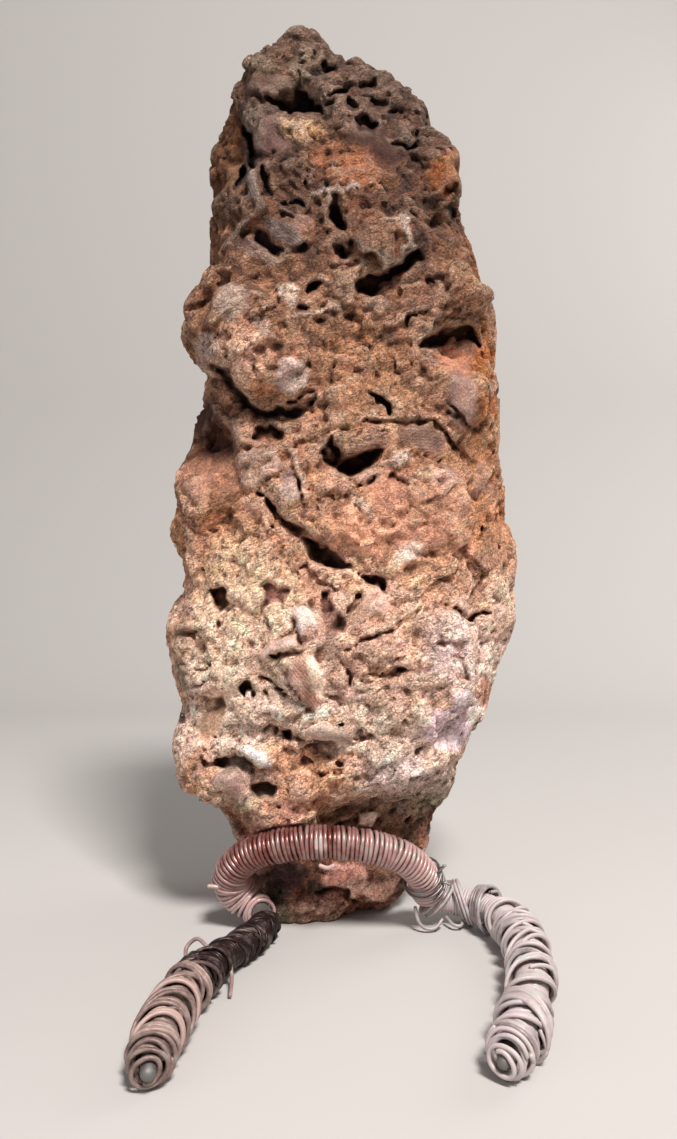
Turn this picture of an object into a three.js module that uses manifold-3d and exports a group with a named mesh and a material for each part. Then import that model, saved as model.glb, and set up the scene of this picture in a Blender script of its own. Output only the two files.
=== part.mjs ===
// A tall piece of petrified wood that stands on its own flat foot, with its overhanging front on a bent rod that is
// wound with copper wire.
// Millimetres, +Z up, -Y is the front. The origin is the middle of the stone's foot, on the surface it stands on.
// The rod is one length: it runs from the tip of the left leg, over the low arch, to the tip of the right leg.

import * as THREE from "three";
import Module from "manifold-3d";

const wasm = await Module();
wasm.setup();

// ---------------------------------------------------------------- driving dimensions

const ROD_RADIUS = 3.2; // the rod under the wire
const ROD_TIP_RADIUS = 1.6; // the rod is drawn thin at both tips
const ROD_TAPER = 0.04; // share of the rod's length over which each tip thins
const SEAT_GAP = 0.3; // clearance between pieces that touch
const BORE_GAP = 0.35; // clearance between the rod and its winding
const TIE_WIRE = 0.8; // thickness of the wire that ties the right end of the arch
const TIE_TURNS = 2.5;
const TIE_STEPS_A_TURN = 10;
const TIE_PLACE = [0.592, 0.612]; // its two ends, as shares of the rod's length

// The stone's smooth outline at each height: [height, left, right, front, back].
const STONE_SECTIONS = [
  [0, -27, 17, -23, 23],
  [13, -31, 25, -22, 28],
  [24, -35, 31, -20, 31],
  [31, -37, 31, -20, 33],
  [34, -43, 33, -21, 34],
  [38, -47, 36, -24, 35],
  [41.5, -52, 38, -33, 36],
  [46, -54, 40, -36, 37],
  [57, -54, 45, -37, 38],
  [91, -56, 52, -39, 40],
  [115, -54, 57, -37, 40],
  [145, -52, 54, -34, 38],
  [171, -47, 53, -34, 37],
  [200, -48, 51, -33, 34],
  [223, -43, 43, -29, 31],
  [250, -41, 38, -25, 25],
  [268, -36, 27, -20, 19],
  [280, -32, 8, -13, 11],
  [287, -21, -3, -7, 6],
  [291, -18, -10, -4, 4],
];
const STONE_TOP = 292.5;
const CORNER_POWER = 2.6; // how square the outline's corners are, where 2 is an ellipse

// The uneven left and right edges of the stone: [height, sideways place]. They are given as they line up with
// the upright plane through the middle of the foot when seen from EYE.
const EYE = { y: -320, z: 111 };
const LEFT_EDGE = [
  [34, -44],
  [37, -44.8],
  [41.5, -52.9],
  [48.5, -55.8],
  [56, -55.5],
  [61, -52.9],
  [67, -52.5],
  [79, -56.6],
  [90, -57.5],
  [98, -55.5],
  [106, -50.5],
  [113, -50.9],
  [121.5, -56.2],
  [125.5, -57],
  [128, -54.5],
  [132, -54.5],
  [138.5, -56.3],
  [143, -54.5],
  [152, -48.2],
  [162, -48.2],
  [168.5, -45.5],
  [172, -45.5],
  [181, -48.7],
  [189.5, -53.2],
  [202, -50.1],
  [209.5, -42.7],
  [224, -41.6],
  [228, -44.7],
  [238, -42],
  [247, -43],
  [258, -40],
  [274, -34.3],
  [278, -34.3],
  [282, -31.5],
  [287.5, -21.2],
  [292, -19],
];
const RIGHT_EDGE = [
  [34, 35],
  [42, 39.3],
  [57.5, 46],
  [62.5, 49.2],
  [69, 50.4],
  [86, 51.7],
  [96, 54.8],
  [104.5, 55.8],
  [113.5, 59.8],
  [118, 59.4],
  [128.5, 55.9],
  [136, 54.4],
  [143, 55.1],
  [147.5, 52.1],
  [151.5, 54],
  [169.5, 54],
  [178.5, 52.1],
  [186.5, 52.1],
  [192.5, 53.6],
  [202, 51],
  [207, 46.9],
  [217, 45.5],
  [223.5, 42],
  [230, 42],
  [234.5, 40.3],
  [241.5, 42],
  [247.5, 42],
  [252, 38.6],
  [257, 33.1],
  [269, 27.5],
  [273, 22.1],
  [277.5, 15.2],
  [280.5, 9],
  [284, -0.5],
  [287.5, -2.7],
  [292, -13],
];
const EDGE_POWER = 3; // how closely the fit to the edges keeps to the sides of the stone

// Waves that make the stone uneven: [wavelength, height].
const SWELLS = [
  [46, 2.6],
  [23, 2.0],
  [13, 0.9],
];

// Lumps stand out of the stone and hollows are sunk into it. Each is an ellipsoid: its middle, its half sizes,
// and the degrees it is turned about the front-back axis. A middle with no front-back place lies on the front face.
const LUMPS = [
  { name: "nose", at: [-25, null, 182], size: [21, 10, 16], turn: -38 },
  { name: "nose_flank", at: [-43, -22, 184], size: [11, 13, 12], turn: 0 },
  { name: "left_shoulder", at: [-42, -16, 132], size: [15, 17, 15], turn: 0 },
  { name: "left_knuckle_high", at: [-48, -14, 112], size: [10, 14, 8], turn: 20 },
  { name: "left_knuckle_mid", at: [-48, -12, 88], size: [10, 16, 10], turn: 0 },
  { name: "left_knuckle_low", at: [-46, -12, 57], size: [12, 18, 13], turn: 0 },
  { name: "raised_slab", at: [9, null, 216], size: [17, 5.5, 15], turn: 30 },
  { name: "round_shoulder", at: [35, -14, 232], size: [9, 13, 12], turn: 0 },
  { name: "right_pebble", at: [38, -26, 165], size: [8, 8, 13], turn: 20 },
  { name: "cheek", at: [22, null, 128], size: [22, 5, 14], turn: 0 },
  { name: "right_brow", at: [38, -24, 196], size: [12, 11, 9], turn: 20 },
  { name: "belly", at: [20, null, 84], size: [24, 6, 20], turn: 10 },
  { name: "lens_chip", at: [-12, null, 83], size: [6.5, 4.5, 12], turn: 12 },
  { name: "low_ledge", at: [-5, null, 65], size: [10, 4.5, 4], turn: -8 },
  { name: "chin_left", at: [-34, -26, 47], size: [14, 10, 9], turn: -20 },
  { name: "chin_right", at: [20, -28, 53], size: [18, 9, 8], turn: 8 },
  { name: "tongue", at: [-17, -27, 39], size: [14, 9, 16], turn: 0 },
  { name: "foot_toe", at: [-14, -19, 4], size: [10, 8, 7], turn: 0 },
  { name: "crown", at: [-12, -2, 280], size: [8, 8, 9], turn: 0 },
  { name: "crown_side", at: [-27, -3, 270], size: [9, 12, 9], turn: 0 },
  { name: "top_bump", at: [9, -4, 274], size: [5, 6, 5], turn: 0 },
  { name: "back_rib", at: [-10, 36, 150], size: [17, 9, 60], turn: 6 },
  { name: "back_hump", at: [24, 34, 96], size: [20, 11, 30], turn: -14 },
  { name: "back_heel", at: [-26, 30, 60], size: [18, 12, 22], turn: 10 },
  { name: "back_crest", at: [16, 27, 214], size: [16, 9, 26], turn: -10 },
  { name: "right_fin", at: [50, 4, 118], size: [11, 16, 24], turn: 4 },
];
const HOLLOWS = [
  { name: "top_cave", at: [-12, null, 259], size: [7, 9, 4.5], turn: -18 },
  { name: "side_cleft", at: [-31, -20, 247], size: [3.4, 12, 9], turn: -8 },
  { name: "under_slab", at: [16, null, 201], size: [12, 7, 3.6], turn: -38 },
  { name: "right_cave", at: [37, -30, 180], size: [11, 9, 5], turn: 0 },
  { name: "under_nose", at: [-20, null, 160], size: [15, 6, 3.4], turn: 10 },
  { name: "under_nose_side", at: [-40, -30, 160], size: [10, 9, 8], turn: 40 },
  { name: "left_recess", at: [-38, -34, 147], size: [8, 9, 10], turn: 0 },
  { name: "middle_slot", at: [5, null, 144], size: [8, 9, 3.6], turn: -24 },
  { name: "middle_crevice", at: [-8, null, 113], size: [12, 7, 4], turn: 38 },
  { name: "arch_hole", at: [8, null, 107], size: [4.2, 6, 3.6], turn: 0 },
  { name: "left_hole", at: [-39, -34, 102], size: [4.5, 8, 4.5], turn: 0 },
  { name: "right_notch", at: [41, -32, 97], size: [9, 7, 3.4], turn: -16 },
  { name: "belly_dent", at: [18, null, 81], size: [7, 3.4, 2.6], turn: 0 },
  { name: "under_lens", at: [-18, null, 61], size: [6, 5, 3.4], turn: 20 },
  { name: "chin_hole", at: [-25, -35, 47], size: [4.5, 5, 4], turn: 0 },
  { name: "foot_chip", at: [20, -27, -6], size: [26, 20, 14], turn: 0 },
  { name: "foot_groove", at: [6, -24, 15], size: [17, 6, 4], turn: -22 },
  { name: "back_gully", at: [8, 44, 160], size: [7, 11, 50], turn: -8 },
  { name: "back_pocket", at: [-22, 42, 104], size: [10, 9, 8], turn: 20 },
  { name: "back_step", at: [-4, 44, 206], size: [26, 9, 6], turn: 14 },
  { name: "right_pocket", at: [56, 6, 158], size: [7, 10, 11], turn: 0 },
  { name: "left_back_pocket", at: [-54, 16, 104], size: [7, 10, 12], turn: 0 },
];
const LUMP_BLEND = 3.5; // how softly a lump grows out of the stone
const HOLLOW_BLEND = 1.6; // a hollow's rim is crisper

// Where the rod's middle line runs, from the left tip to the right tip.
const ROD_ROUTE = [
  [-40.2, -120.5, 4.7],
  [-40.4, -113, 5.7],
  [-40.2, -104, 6.3],
  [-38.9, -90, 6.4],
  [-36, -75, 6.1],
  [-31.8, -62, 5.5],
  [-27.4, -52, 4.9],
  [-24, -44, 4.6],
  [-22.2, -36.5, 4.8],
  [-23.8, -29, 5.7],
  [-29.4, -24.8, 8.6],
  [-33, -26, 14],
  [-31, -29.6, 20.4],
  [-25.4, -32.6, 25.2],
  [-17, -34.6, 28],
  [-6.8, -35.4, 29.2],
  [3.5, -35.4, 28.7],
  [13, -34.8, 26.8],
  [20.4, -33.2, 23.4],
  [25.2, -30, 18.2],
  [27.4, -25.6, 12.4],
  [30.4, -22, 8.2],
  [35.8, -21.8, 7],
  [42.4, -24.6, 6.9],
  [48.4, -33, 6.7],
  [51.6, -47, 6.7],
  [51.2, -63, 6.7],
  [48.8, -80, 6.6],
  [44.4, -96, 6.4],
  [39.6, -108.5, 5.9],
  [34.8, -117.4, 4.8],
];
// How thick the wound rod is: [share of the rod's length, outer radius].
const WOUND_RADIUS = [
  [0, 4.2],
  [0.025, 5.5],
  [0.05, 6.2],
  [0.13, 6.1],
  [0.18, 5.4],
  [0.22, 4.6],
  [0.3, 4.5],
  [0.34, 6],
  [0.37, 6.1],
  [0.41, 5.4],
  [0.6, 5.3],
  [0.63, 5.6],
  [0.655, 6.6],
  [0.68, 6.7],
  [0.72, 6.5],
  [0.95, 6.3],
  [0.975, 5.6],
  [1, 4.3],
];
// The three windings, as shares of the rod's length: [start, end, distance between ribs].
const WINDINGS = {
  left_leg_winding: [0.005, 0.298, 4.4],
  arch_winding: [0.3, 0.622, 3.2],
  right_leg_winding: [0.624, 0.995, 4.4],
};
const RIB_DEPTH = 0.55; // how far the grooves between wound turns sink
const WINDING_SIDES = 8;
const ROD_SIDES = 6;
const ROUTE_STEPS = 400;
const ROD_TURN = THREE.MathUtils.degToRad(20); // the rod gets a new ring after this much bend
const ROD_STEP = 12; // or after this length
const CUT_PLACE = [0.26, 0.68]; // the part of the rod that the stone is cut back from, as shares of its length
const CUT_RINGS = 44;
const CUT_SIDES = 12;

// Sizes of the facets on the stone.
const STONE_SIDES = 44;
const FRONT_BIAS = 0.42; // crowds the facets towards the front face
const RING_STEP = 5;
const SEARCH_REACH = 16; // how far outside the smooth outline the surface can lie
const LEAST_REACH = 1.5; // no hollow gets closer to the middle line than this

// ---------------------------------------------------------------- small tools

/** A row of a table at a value of its first column, with every other column interpolated. */
function tableAt(table, value) {
  const last = table.length - 1;
  if (value <= table[0][0]) return table[0].slice(1);
  if (value >= table[last][0]) return table[last].slice(1);
  const i = table.findIndex((row) => row[0] > value) - 1;
  const share = (value - table[i][0]) / (table[i + 1][0] - table[i][0]);
  return table[i].slice(1).map((a, k) => a + share * (table[i + 1][k + 1] - a));
}

/** A closed mesh from rings of points: each ring is joined to the next, and the two end rings are capped. */
function loft(rings, startCap, endCap) {
  const sides = rings[0].length;
  const points = [...rings.flat(), startCap, endCap];
  const start = points.length - 2;
  const end = points.length - 1;
  const faces = [];
  for (let r = 0; r + 1 < rings.length; r++)
    for (let s = 0; s < sides; s++) {
      const a = r * sides + s;
      const b = r * sides + ((s + 1) % sides);
      faces.push(a, b, b + sides, a, b + sides, a + sides);
    }
  const top = (rings.length - 1) * sides;
  for (let s = 0; s < sides; s++) {
    faces.push(start, (s + 1) % sides, s);
    faces.push(end, top + s, top + ((s + 1) % sides));
  }
  const geometry = new THREE.BufferGeometry().setFromPoints(points);
  geometry.setIndex(faces);
  return geometry;
}

/** A closed geometry whose faces share their points, as a manifold-3d solid. */
function solidOf(geometry) {
  return new wasm.Manifold(
    new wasm.Mesh({
      numProp: 3,
      vertProperties: geometry.attributes.position.array,
      triVerts: new Uint32Array(geometry.index.array),
    }),
  );
}

/** A manifold-3d solid as a geometry with flat facets. */
function geometryOf(solid) {
  const mesh = solid.getMesh();
  const geometry = new THREE.BufferGeometry();
  geometry.setAttribute("position", new THREE.BufferAttribute(new Float32Array(mesh.vertProperties), 3));
  geometry.setIndex(new THREE.BufferAttribute(mesh.triVerts, 1));
  geometry.computeVertexNormals();
  return geometry;
}

// ---------------------------------------------------------------- the stone

/** A fixed pseudo-random value from -1 to 1 for a point of the whole-number lattice. */
function latticeValue(i, j, k) {
  let h = Math.imul(i, 374761393) + Math.imul(j, 668265263) + Math.imul(k, 1274126177);
  h = Math.imul(h ^ (h >>> 13), 1274126177);
  h ^= h >>> 16;
  return ((h >>> 0) / 4294967295) * 2 - 1;
}

/** Smooth noise from -1 to 1 with a wavelength of about two units. */
function swell(x, y, z) {
  const [i, j, k] = [Math.floor(x), Math.floor(y), Math.floor(z)];
  const fade = (t) => t * t * t * (t * (t * 6 - 15) + 10);
  const [u, v, w] = [fade(x - i), fade(y - j), fade(z - k)];
  const mix = THREE.MathUtils.lerp;
  const row = (b, c) => mix(latticeValue(i, j + b, k + c), latticeValue(i + 1, j + b, k + c), u);
  return mix(mix(row(0, 0), row(1, 0), v), mix(row(0, 1), row(1, 1), v), w);
}

/** The smooth outline at a height, before lumps: its middle and its half sizes. */
function outlineAt(height) {
  const [left, right, front, back] = tableAt(STONE_SECTIONS, height);
  return { middle: [(left + right) / 2, (front + back) / 2], half: [(right - left) / 2, (back - front) / 2] };
}

/** How far the smooth outline lies from its middle, towards a unit direction. */
function outlineReach(outline, dx, dy) {
  const [a, b] = outline.half;
  const sum = Math.abs(dx / a) ** CORNER_POWER + Math.abs(dy / b) ** CORNER_POWER;
  return sum ** (-1 / CORNER_POWER);
}

/** The front face's place at a point of the front view. */
function frontFace(x, height) {
  const { middle, half } = outlineAt(height);
  const share = Math.min(0.98, Math.abs((x - middle[0]) / half[0]));
  return middle[1] - half[1] * (1 - share ** CORNER_POWER) ** (1 / CORNER_POWER);
}

/** About how far a point lies outside an ellipsoid of the lump and hollow lists. */
function blobDistance(blob, x, y, z) {
  const dx = x - blob.at[0];
  const dz = z - blob.at[2];
  const px = (dx * blob.cos - dz * blob.sin) / blob.size[0];
  const py = (y - blob.at[1]) / blob.size[1];
  const pz = (dx * blob.sin + dz * blob.cos) / blob.size[2];
  const reach = Math.hypot(px, py, pz);
  const slope = Math.hypot(px / blob.size[0], py / blob.size[1], pz / blob.size[2]);
  return (reach * (reach - 1)) / Math.max(slope, 1e-6);
}

/** The lesser of two values, rounded off where they are within a distance of each other. */
function smoothLeast(a, b, blend) {
  const h = Math.max(blend - Math.abs(a - b), 0) / blend;
  return Math.min(a, b) - (h * h * blend) / 4;
}

/** A list entry with its turn worked out and its middle put on the front face where it has none. */
function placed({ name, at, size, turn }) {
  const angle = THREE.MathUtils.degToRad(turn);
  const y = at[1] ?? frontFace(at[0], at[2]);
  return { name, at: [at[0], y, at[2]], size, cos: Math.cos(angle), sin: Math.sin(angle) };
}

const lumps = LUMPS.map(placed);
const hollows = HOLLOWS.map(placed);

/** About how far a point lies outside the stone. */
function stoneDistance(x, y, z) {
  const outline = outlineAt(z);
  const [dx, dy] = [x - outline.middle[0], y - outline.middle[1]];
  const away = Math.max(Math.hypot(dx, dy), 1e-6);
  let distance = away - outlineReach(outline, dx / away, dy / away);
  for (const lump of lumps) distance = smoothLeast(distance, blobDistance(lump, x, y, z), LUMP_BLEND);
  for (const [length, height] of SWELLS) {
    const scale = 2 / length;
    distance -= height * swell(x * scale + length, y * scale, z * scale);
  }
  for (const hollow of hollows) {
    distance = -smoothLeast(-distance, blobDistance(hollow, x, y, z), HOLLOW_BLEND);
  }
  return distance;
}

/** The furthest point of the stone from its middle line, at a height and towards a direction. */
function stonePoint(height, turn) {
  const outline = outlineAt(height);
  const squared = (c) => Math.sign(c) * Math.abs(c) ** (2 / CORNER_POWER);
  const corner = [outline.half[0] * squared(Math.cos(turn)), outline.half[1] * squared(Math.sin(turn))];
  const towards = new THREE.Vector2(...corner).normalize();
  const at = (r) => [outline.middle[0] + towards.x * r, outline.middle[1] + towards.y * r, height];
  const most = outlineReach(outline, towards.x, towards.y) + SEARCH_REACH;
  const least = LEAST_REACH;
  let outside = most;
  let inside = most;
  while (inside > least && stoneDistance(...at(inside)) > 0) {
    outside = inside;
    inside -= 1;
  }
  for (let i = 0; i < 12; i++) {
    const middle = (inside + outside) / 2;
    if (stoneDistance(...at(middle)) > 0) outside = middle;
    else inside = middle;
  }
  return new THREE.Vector3(...at(Math.max(inside, least)));
}

/** How much larger a point looks from EYE than it would in the upright plane through the foot's middle. */
function nearness(point) {
  return EYE.y / (EYE.y - point.y);
}

/** Moves a ring's points sideways until its two ends, seen from EYE, meet the stone's edges. */
function fitToEdges(ring) {
  const seen = (point) => point.x * nearness(point);
  const seenHeight = (point) => EYE.z + (point.z - EYE.z) * nearness(point);
  const ends = [LEFT_EDGE, RIGHT_EDGE].map((edge, right) => {
    const end = ring.reduce((a, b) => (seen(b) > seen(a) === Boolean(right) ? b : a));
    const height = seenHeight(end);
    const fit = THREE.MathUtils.smoothstep(height, 31, 36);
    return { place: seen(end), shift: fit * (tableAt(edge, height)[0] - seen(end)) };
  });
  const middle = (ends[0].place + ends[1].place) / 2;
  for (const point of ring) {
    const end = ends[seen(point) > middle ? 1 : 0];
    const share = (seen(point) - middle) / (end.place - middle);
    point.x += (end.shift * share ** EDGE_POWER) / nearness(point);
  }
  return ring;
}

/** The heights of the stone's rings of facets, closer together at the lip above the foot and at the crown. */
function ringHeights() {
  const heights = [0, 4, 9, 15, 21, 26, 30, 33.5, 36.5, 39.5, 42, 45];
  for (let z = 49; z < 268; z += RING_STEP) heights.push(z);
  return [...heights, 271, 275, 279, 283, 286, 289, 291.2];
}

/** The stone, cut back where it leans on the wound rod. */
function petrifiedWood(rodClearance) {
  const around = Array.from({ length: STONE_SIDES }, (_, s) => (s / STONE_SIDES) * 2 * Math.PI - Math.PI);
  const turns = around.map((angle) => angle - FRONT_BIAS * Math.sin(angle) - Math.PI / 2);
  const rings = ringHeights().map((height) => fitToEdges(turns.map((turn) => stonePoint(height, turn))));
  const crown = rings.at(-1).reduce((sum, p) => sum.add(p), new THREE.Vector3()).divideScalar(STONE_SIDES);
  const whole = solidOf(loft(rings, new THREE.Vector3(0, 0, 0), crown.setZ(STONE_TOP)));
  return geometryOf(whole.subtract(rodClearance));
}

// ---------------------------------------------------------------- the stand

const route = new THREE.CatmullRomCurve3(
  ROD_ROUTE.map((p) => new THREE.Vector3(...p)),
  false,
  "centripetal",
);
const routeLength = route.getLength();
const routeFrames = route.computeFrenetFrames(ROUTE_STEPS, false);

/** A ring of points square to the rod, at a share of its length. */
function rodRing(share, radius, sides) {
  const middle = route.getPointAt(share);
  const i = Math.round(share * ROUTE_STEPS);
  const [normal, binormal] = [routeFrames.normals[i], routeFrames.binormals[i]];
  return Array.from({ length: sides }, (_, s) => {
    const angle = (s / sides) * 2 * Math.PI;
    return middle
      .clone()
      .addScaledVector(normal, radius * Math.cos(angle))
      .addScaledVector(binormal, radius * Math.sin(angle));
  });
}

/** A capped tube along part of the rod, through the given shares of its length. */
function rodTube(shares, radiusAt, sides) {
  const rings = shares.map((share) => rodRing(share, radiusAt(share), sides));
  return loft(rings, route.getPointAt(shares[0]), route.getPointAt(shares.at(-1)));
}

/** The shares of the rod's length where it gets a ring: closer together where it bends. */
function rodShares() {
  const shares = [0];
  let last = 0;
  for (let i = 1; i < ROUTE_STEPS; i++) {
    const bend = routeFrames.tangents[i].angleTo(routeFrames.tangents[last]);
    const length = ((i - last) / ROUTE_STEPS) * routeLength;
    if (bend < ROD_TURN && length < ROD_STEP) continue;
    shares.push(i / ROUTE_STEPS);
    last = i;
  }
  return [...shares, 1];
}

const ROD_SHARES = rodShares();
const woundRadius = (share) => tableAt(WOUND_RADIUS, share)[0];
const tipShare = (share) => Math.min(1, Math.min(share, 1 - share) / ROD_TAPER);
const rodRadius = (share) => THREE.MathUtils.lerp(ROD_TIP_RADIUS, ROD_RADIUS, tipShare(share));

/** One winding: a ribbed sleeve that the rod passes through. */
function winding([start, end, ribStep]) {
  const ribs = Math.round(((end - start) * routeLength) / ribStep);
  const shares = [];
  for (let i = 0; i <= 2 * ribs; i++) shares.push(start + ((end - start) * i) / (2 * ribs));
  const groove = (share) => (shares.indexOf(share) % 2 ? 0 : RIB_DEPTH);
  const outside = solidOf(rodTube(shares, (share) => woundRadius(share) - groove(share), WINDING_SIDES));
  const bore = solidOf(rodTube(ROD_SHARES, (share) => rodRadius(share) + BORE_GAP, ROD_SIDES));
  return geometryOf(outside.subtract(bore));
}

/** The thin wire twisted round the right end of the arch. */
function tieWire() {
  const [start, end] = TIE_PLACE;
  const steps = Math.round(TIE_TURNS * TIE_STEPS_A_TURN);
  const points = [];
  for (let i = 0; i <= steps; i++) {
    const share = start + ((end - start) * i) / steps;
    const frame = Math.round(share * ROUTE_STEPS);
    const angle = (i / TIE_STEPS_A_TURN) * 2 * Math.PI;
    const radius = woundRadius(share) + SEAT_GAP + TIE_WIRE / 2;
    points.push(
      route
        .getPointAt(share)
        .addScaledVector(routeFrames.normals[frame], radius * Math.cos(angle))
        .addScaledVector(routeFrames.binormals[frame], radius * Math.sin(angle)),
    );
  }
  const section = new THREE.Shape();
  section.absarc(0, 0, TIE_WIRE / 2, 0, 2 * Math.PI);
  return new THREE.ExtrudeGeometry(section, {
    steps,
    extrudePath: new THREE.CatmullRomCurve3(points),
    curveSegments: 3,
  });
}

// ---------------------------------------------------------------- the model

/** A named mesh with its own material. */
function piece(name, geometry, colour, roughness, metalness) {
  const material = new THREE.MeshStandardMaterial({ color: colour, roughness, metalness });
  const mesh = new THREE.Mesh(geometry, material);
  mesh.name = name;
  return mesh;
}

const cutShares = Array.from({ length: CUT_RINGS }, (_, i) =>
  THREE.MathUtils.lerp(CUT_PLACE[0], CUT_PLACE[1], i / (CUT_RINGS - 1)),
);
const rodClearance = solidOf(rodTube(cutShares, (share) => woundRadius(share) + SEAT_GAP, CUT_SIDES));

const model = new THREE.Group();
model.add(
  piece("petrified_wood", petrifiedWood(rodClearance), "#a9805f", 0.95, 0),
  piece("stand_rod", rodTube(ROD_SHARES, rodRadius, ROD_SIDES), "#b3aaa2", 0.6, 0.6),
  piece("left_leg_winding", winding(WINDINGS.left_leg_winding), "#b39a8f", 0.55, 0.7),
  piece("arch_winding", winding(WINDINGS.arch_winding), "#8e4a38", 0.4, 0.9),
  piece("right_leg_winding", winding(WINDINGS.right_leg_winding), "#b7a49a", 0.55, 0.7),
  piece("tie_wire", tieWire(), "#77736f", 0.5, 0.9),
);

export default model;
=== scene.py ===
"""Dresses a tall piece of petrified wood and its wire-wound rod stand.

Blender 4.5. The frame is in metres, +Z up, -Y is the front. Sizes here are in millimetres and are turned to
metres as each mesh is made. The stone's fine form is worked out as a distance field around its plain solid:
marks are pressed into its front, seeded roughness covers it all, and the field is meshed again.
"""

from __future__ import annotations

import logging
import math
from collections.abc import Callable, Sequence
from dataclasses import dataclass, field
from enum import Enum

import bpy
import numpy as np
import openvdb
from bpy.types import Material, Mesh, Node, NodeSocket, NodeTree, Object
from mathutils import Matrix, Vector
from numpy import ndarray as Array


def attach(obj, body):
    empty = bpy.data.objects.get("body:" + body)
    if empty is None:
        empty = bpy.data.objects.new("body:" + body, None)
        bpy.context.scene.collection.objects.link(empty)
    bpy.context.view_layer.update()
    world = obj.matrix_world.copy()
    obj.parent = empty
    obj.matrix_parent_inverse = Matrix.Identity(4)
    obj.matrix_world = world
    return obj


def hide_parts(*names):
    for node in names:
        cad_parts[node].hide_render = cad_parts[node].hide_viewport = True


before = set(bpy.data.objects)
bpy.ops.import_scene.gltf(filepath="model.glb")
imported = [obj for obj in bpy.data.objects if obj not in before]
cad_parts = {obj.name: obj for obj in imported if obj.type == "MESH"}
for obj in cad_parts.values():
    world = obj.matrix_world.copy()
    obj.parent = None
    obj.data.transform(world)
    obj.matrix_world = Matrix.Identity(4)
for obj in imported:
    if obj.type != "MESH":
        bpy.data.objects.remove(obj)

Place = tuple[float, float, float]
Spot = tuple[float, float]

LOG = logging.getLogger("petrified_wood")
MM = 0.001  # metres in a millimetre
BODY = "root"

# The eye that the stone's marks are laid out for, and the upright plane on which their places are given.
EYE_Y = -320.0
EYE_Z = 111.0
MARK_PLANE_Y = -34.0


# ---------------------------------------------------------------- colours and small helpers


def linear(colour: str | Array) -> Array:
    """Turns an sRGB colour to linear.

    Args:
        colour: Six hex digits, or an array of sRGB values from 0 to 1.

    Returns:
        The linear values as an array of the same shape, or of three for hex digits.
    """
    values = srgb(colour) if isinstance(colour, str) else np.clip(colour, 0, 1)
    return np.where(values <= 0.04045, values / 12.92, ((values + 0.055) / 1.055) ** 2.4)


def srgb(digits: str) -> Array:
    """Six hex digits as three values from 0 to 1."""
    return np.array([int(digits[i : i + 2], 16) / 255 for i in (0, 2, 4)])


def rgba(digits: str) -> tuple[float, ...]:
    """Six hex digits as a linear colour for a shader socket."""
    return (*(float(c) for c in linear(digits)), 1.0)


def smooth(low: float, high: float, values: Array) -> Array:
    """Rises smoothly from 0 at low to 1 at high."""
    t = np.clip((values - low) / (high - low), 0, 1)
    return t * t * (3 - 2 * t)


def mixed(first: Array, second: Array, share: Array) -> Array:
    """Mixes two colours, or two arrays of them, row by row."""
    return first + (second - first) * np.asarray(share)[..., None]


def unit(vectors: Array) -> Array:
    """Vectors of length one in the same directions."""
    return vectors / np.maximum(np.linalg.norm(vectors, axis=-1, keepdims=True), 1e-9)


def mesh_object(name: str, points: Array, triangles: Array) -> Object:
    """Makes a smooth-shaded mesh object.

    Args:
        name: The object's name.
        points: One row for each vertex, in millimetres.
        triangles: Three vertex numbers for each face.

    Returns:
        The object, linked to the scene.
    """
    mesh = bpy.data.meshes.new(name)
    mesh.vertices.add(len(points))
    mesh.vertices.foreach_set("co", (points * MM).astype(np.float32).ravel())
    mesh.loops.add(triangles.size)
    mesh.loops.foreach_set("vertex_index", triangles.astype(np.int32).ravel())
    mesh.polygons.add(len(triangles))
    mesh.polygons.foreach_set("loop_start", np.arange(0, triangles.size, 3, dtype=np.int32))
    mesh.polygons.foreach_set("use_smooth", np.ones(len(triangles), bool))
    mesh.update(calc_edges=True)
    mesh.validate()
    made = bpy.data.objects.new(name, mesh)
    bpy.context.scene.collection.objects.link(made)
    return made


def corners_and_triangles(mesh: Mesh) -> tuple[Array, Array]:
    """Reads a mesh.

    Args:
        mesh: The mesh.

    Returns:
        Its vertices, one row of three for each, and three vertex numbers for each triangle.
    """
    mesh.calc_loop_triangles()
    points = np.zeros(len(mesh.vertices) * 3, np.float32)
    mesh.vertices.foreach_get("co", points)
    numbers = np.zeros(len(mesh.loop_triangles) * 3, np.int32)
    mesh.loop_triangles.foreach_get("vertices", numbers)
    return points.reshape(-1, 3), numbers.reshape(-1, 3)


def set_share(made: Object, name: str, values: Array) -> None:
    """Stores one number for each vertex, for the material to read."""
    made.data.attributes.new(name, "FLOAT", "POINT").data.foreach_set("value", values.astype(np.float32))


# ---------------------------------------------------------------- seeded noise


# The eight corners of a cell, as steps along X, Y and Z.
CORNERS = tuple((i & 1, (i >> 1) & 1, i >> 2) for i in range(8))


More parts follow.
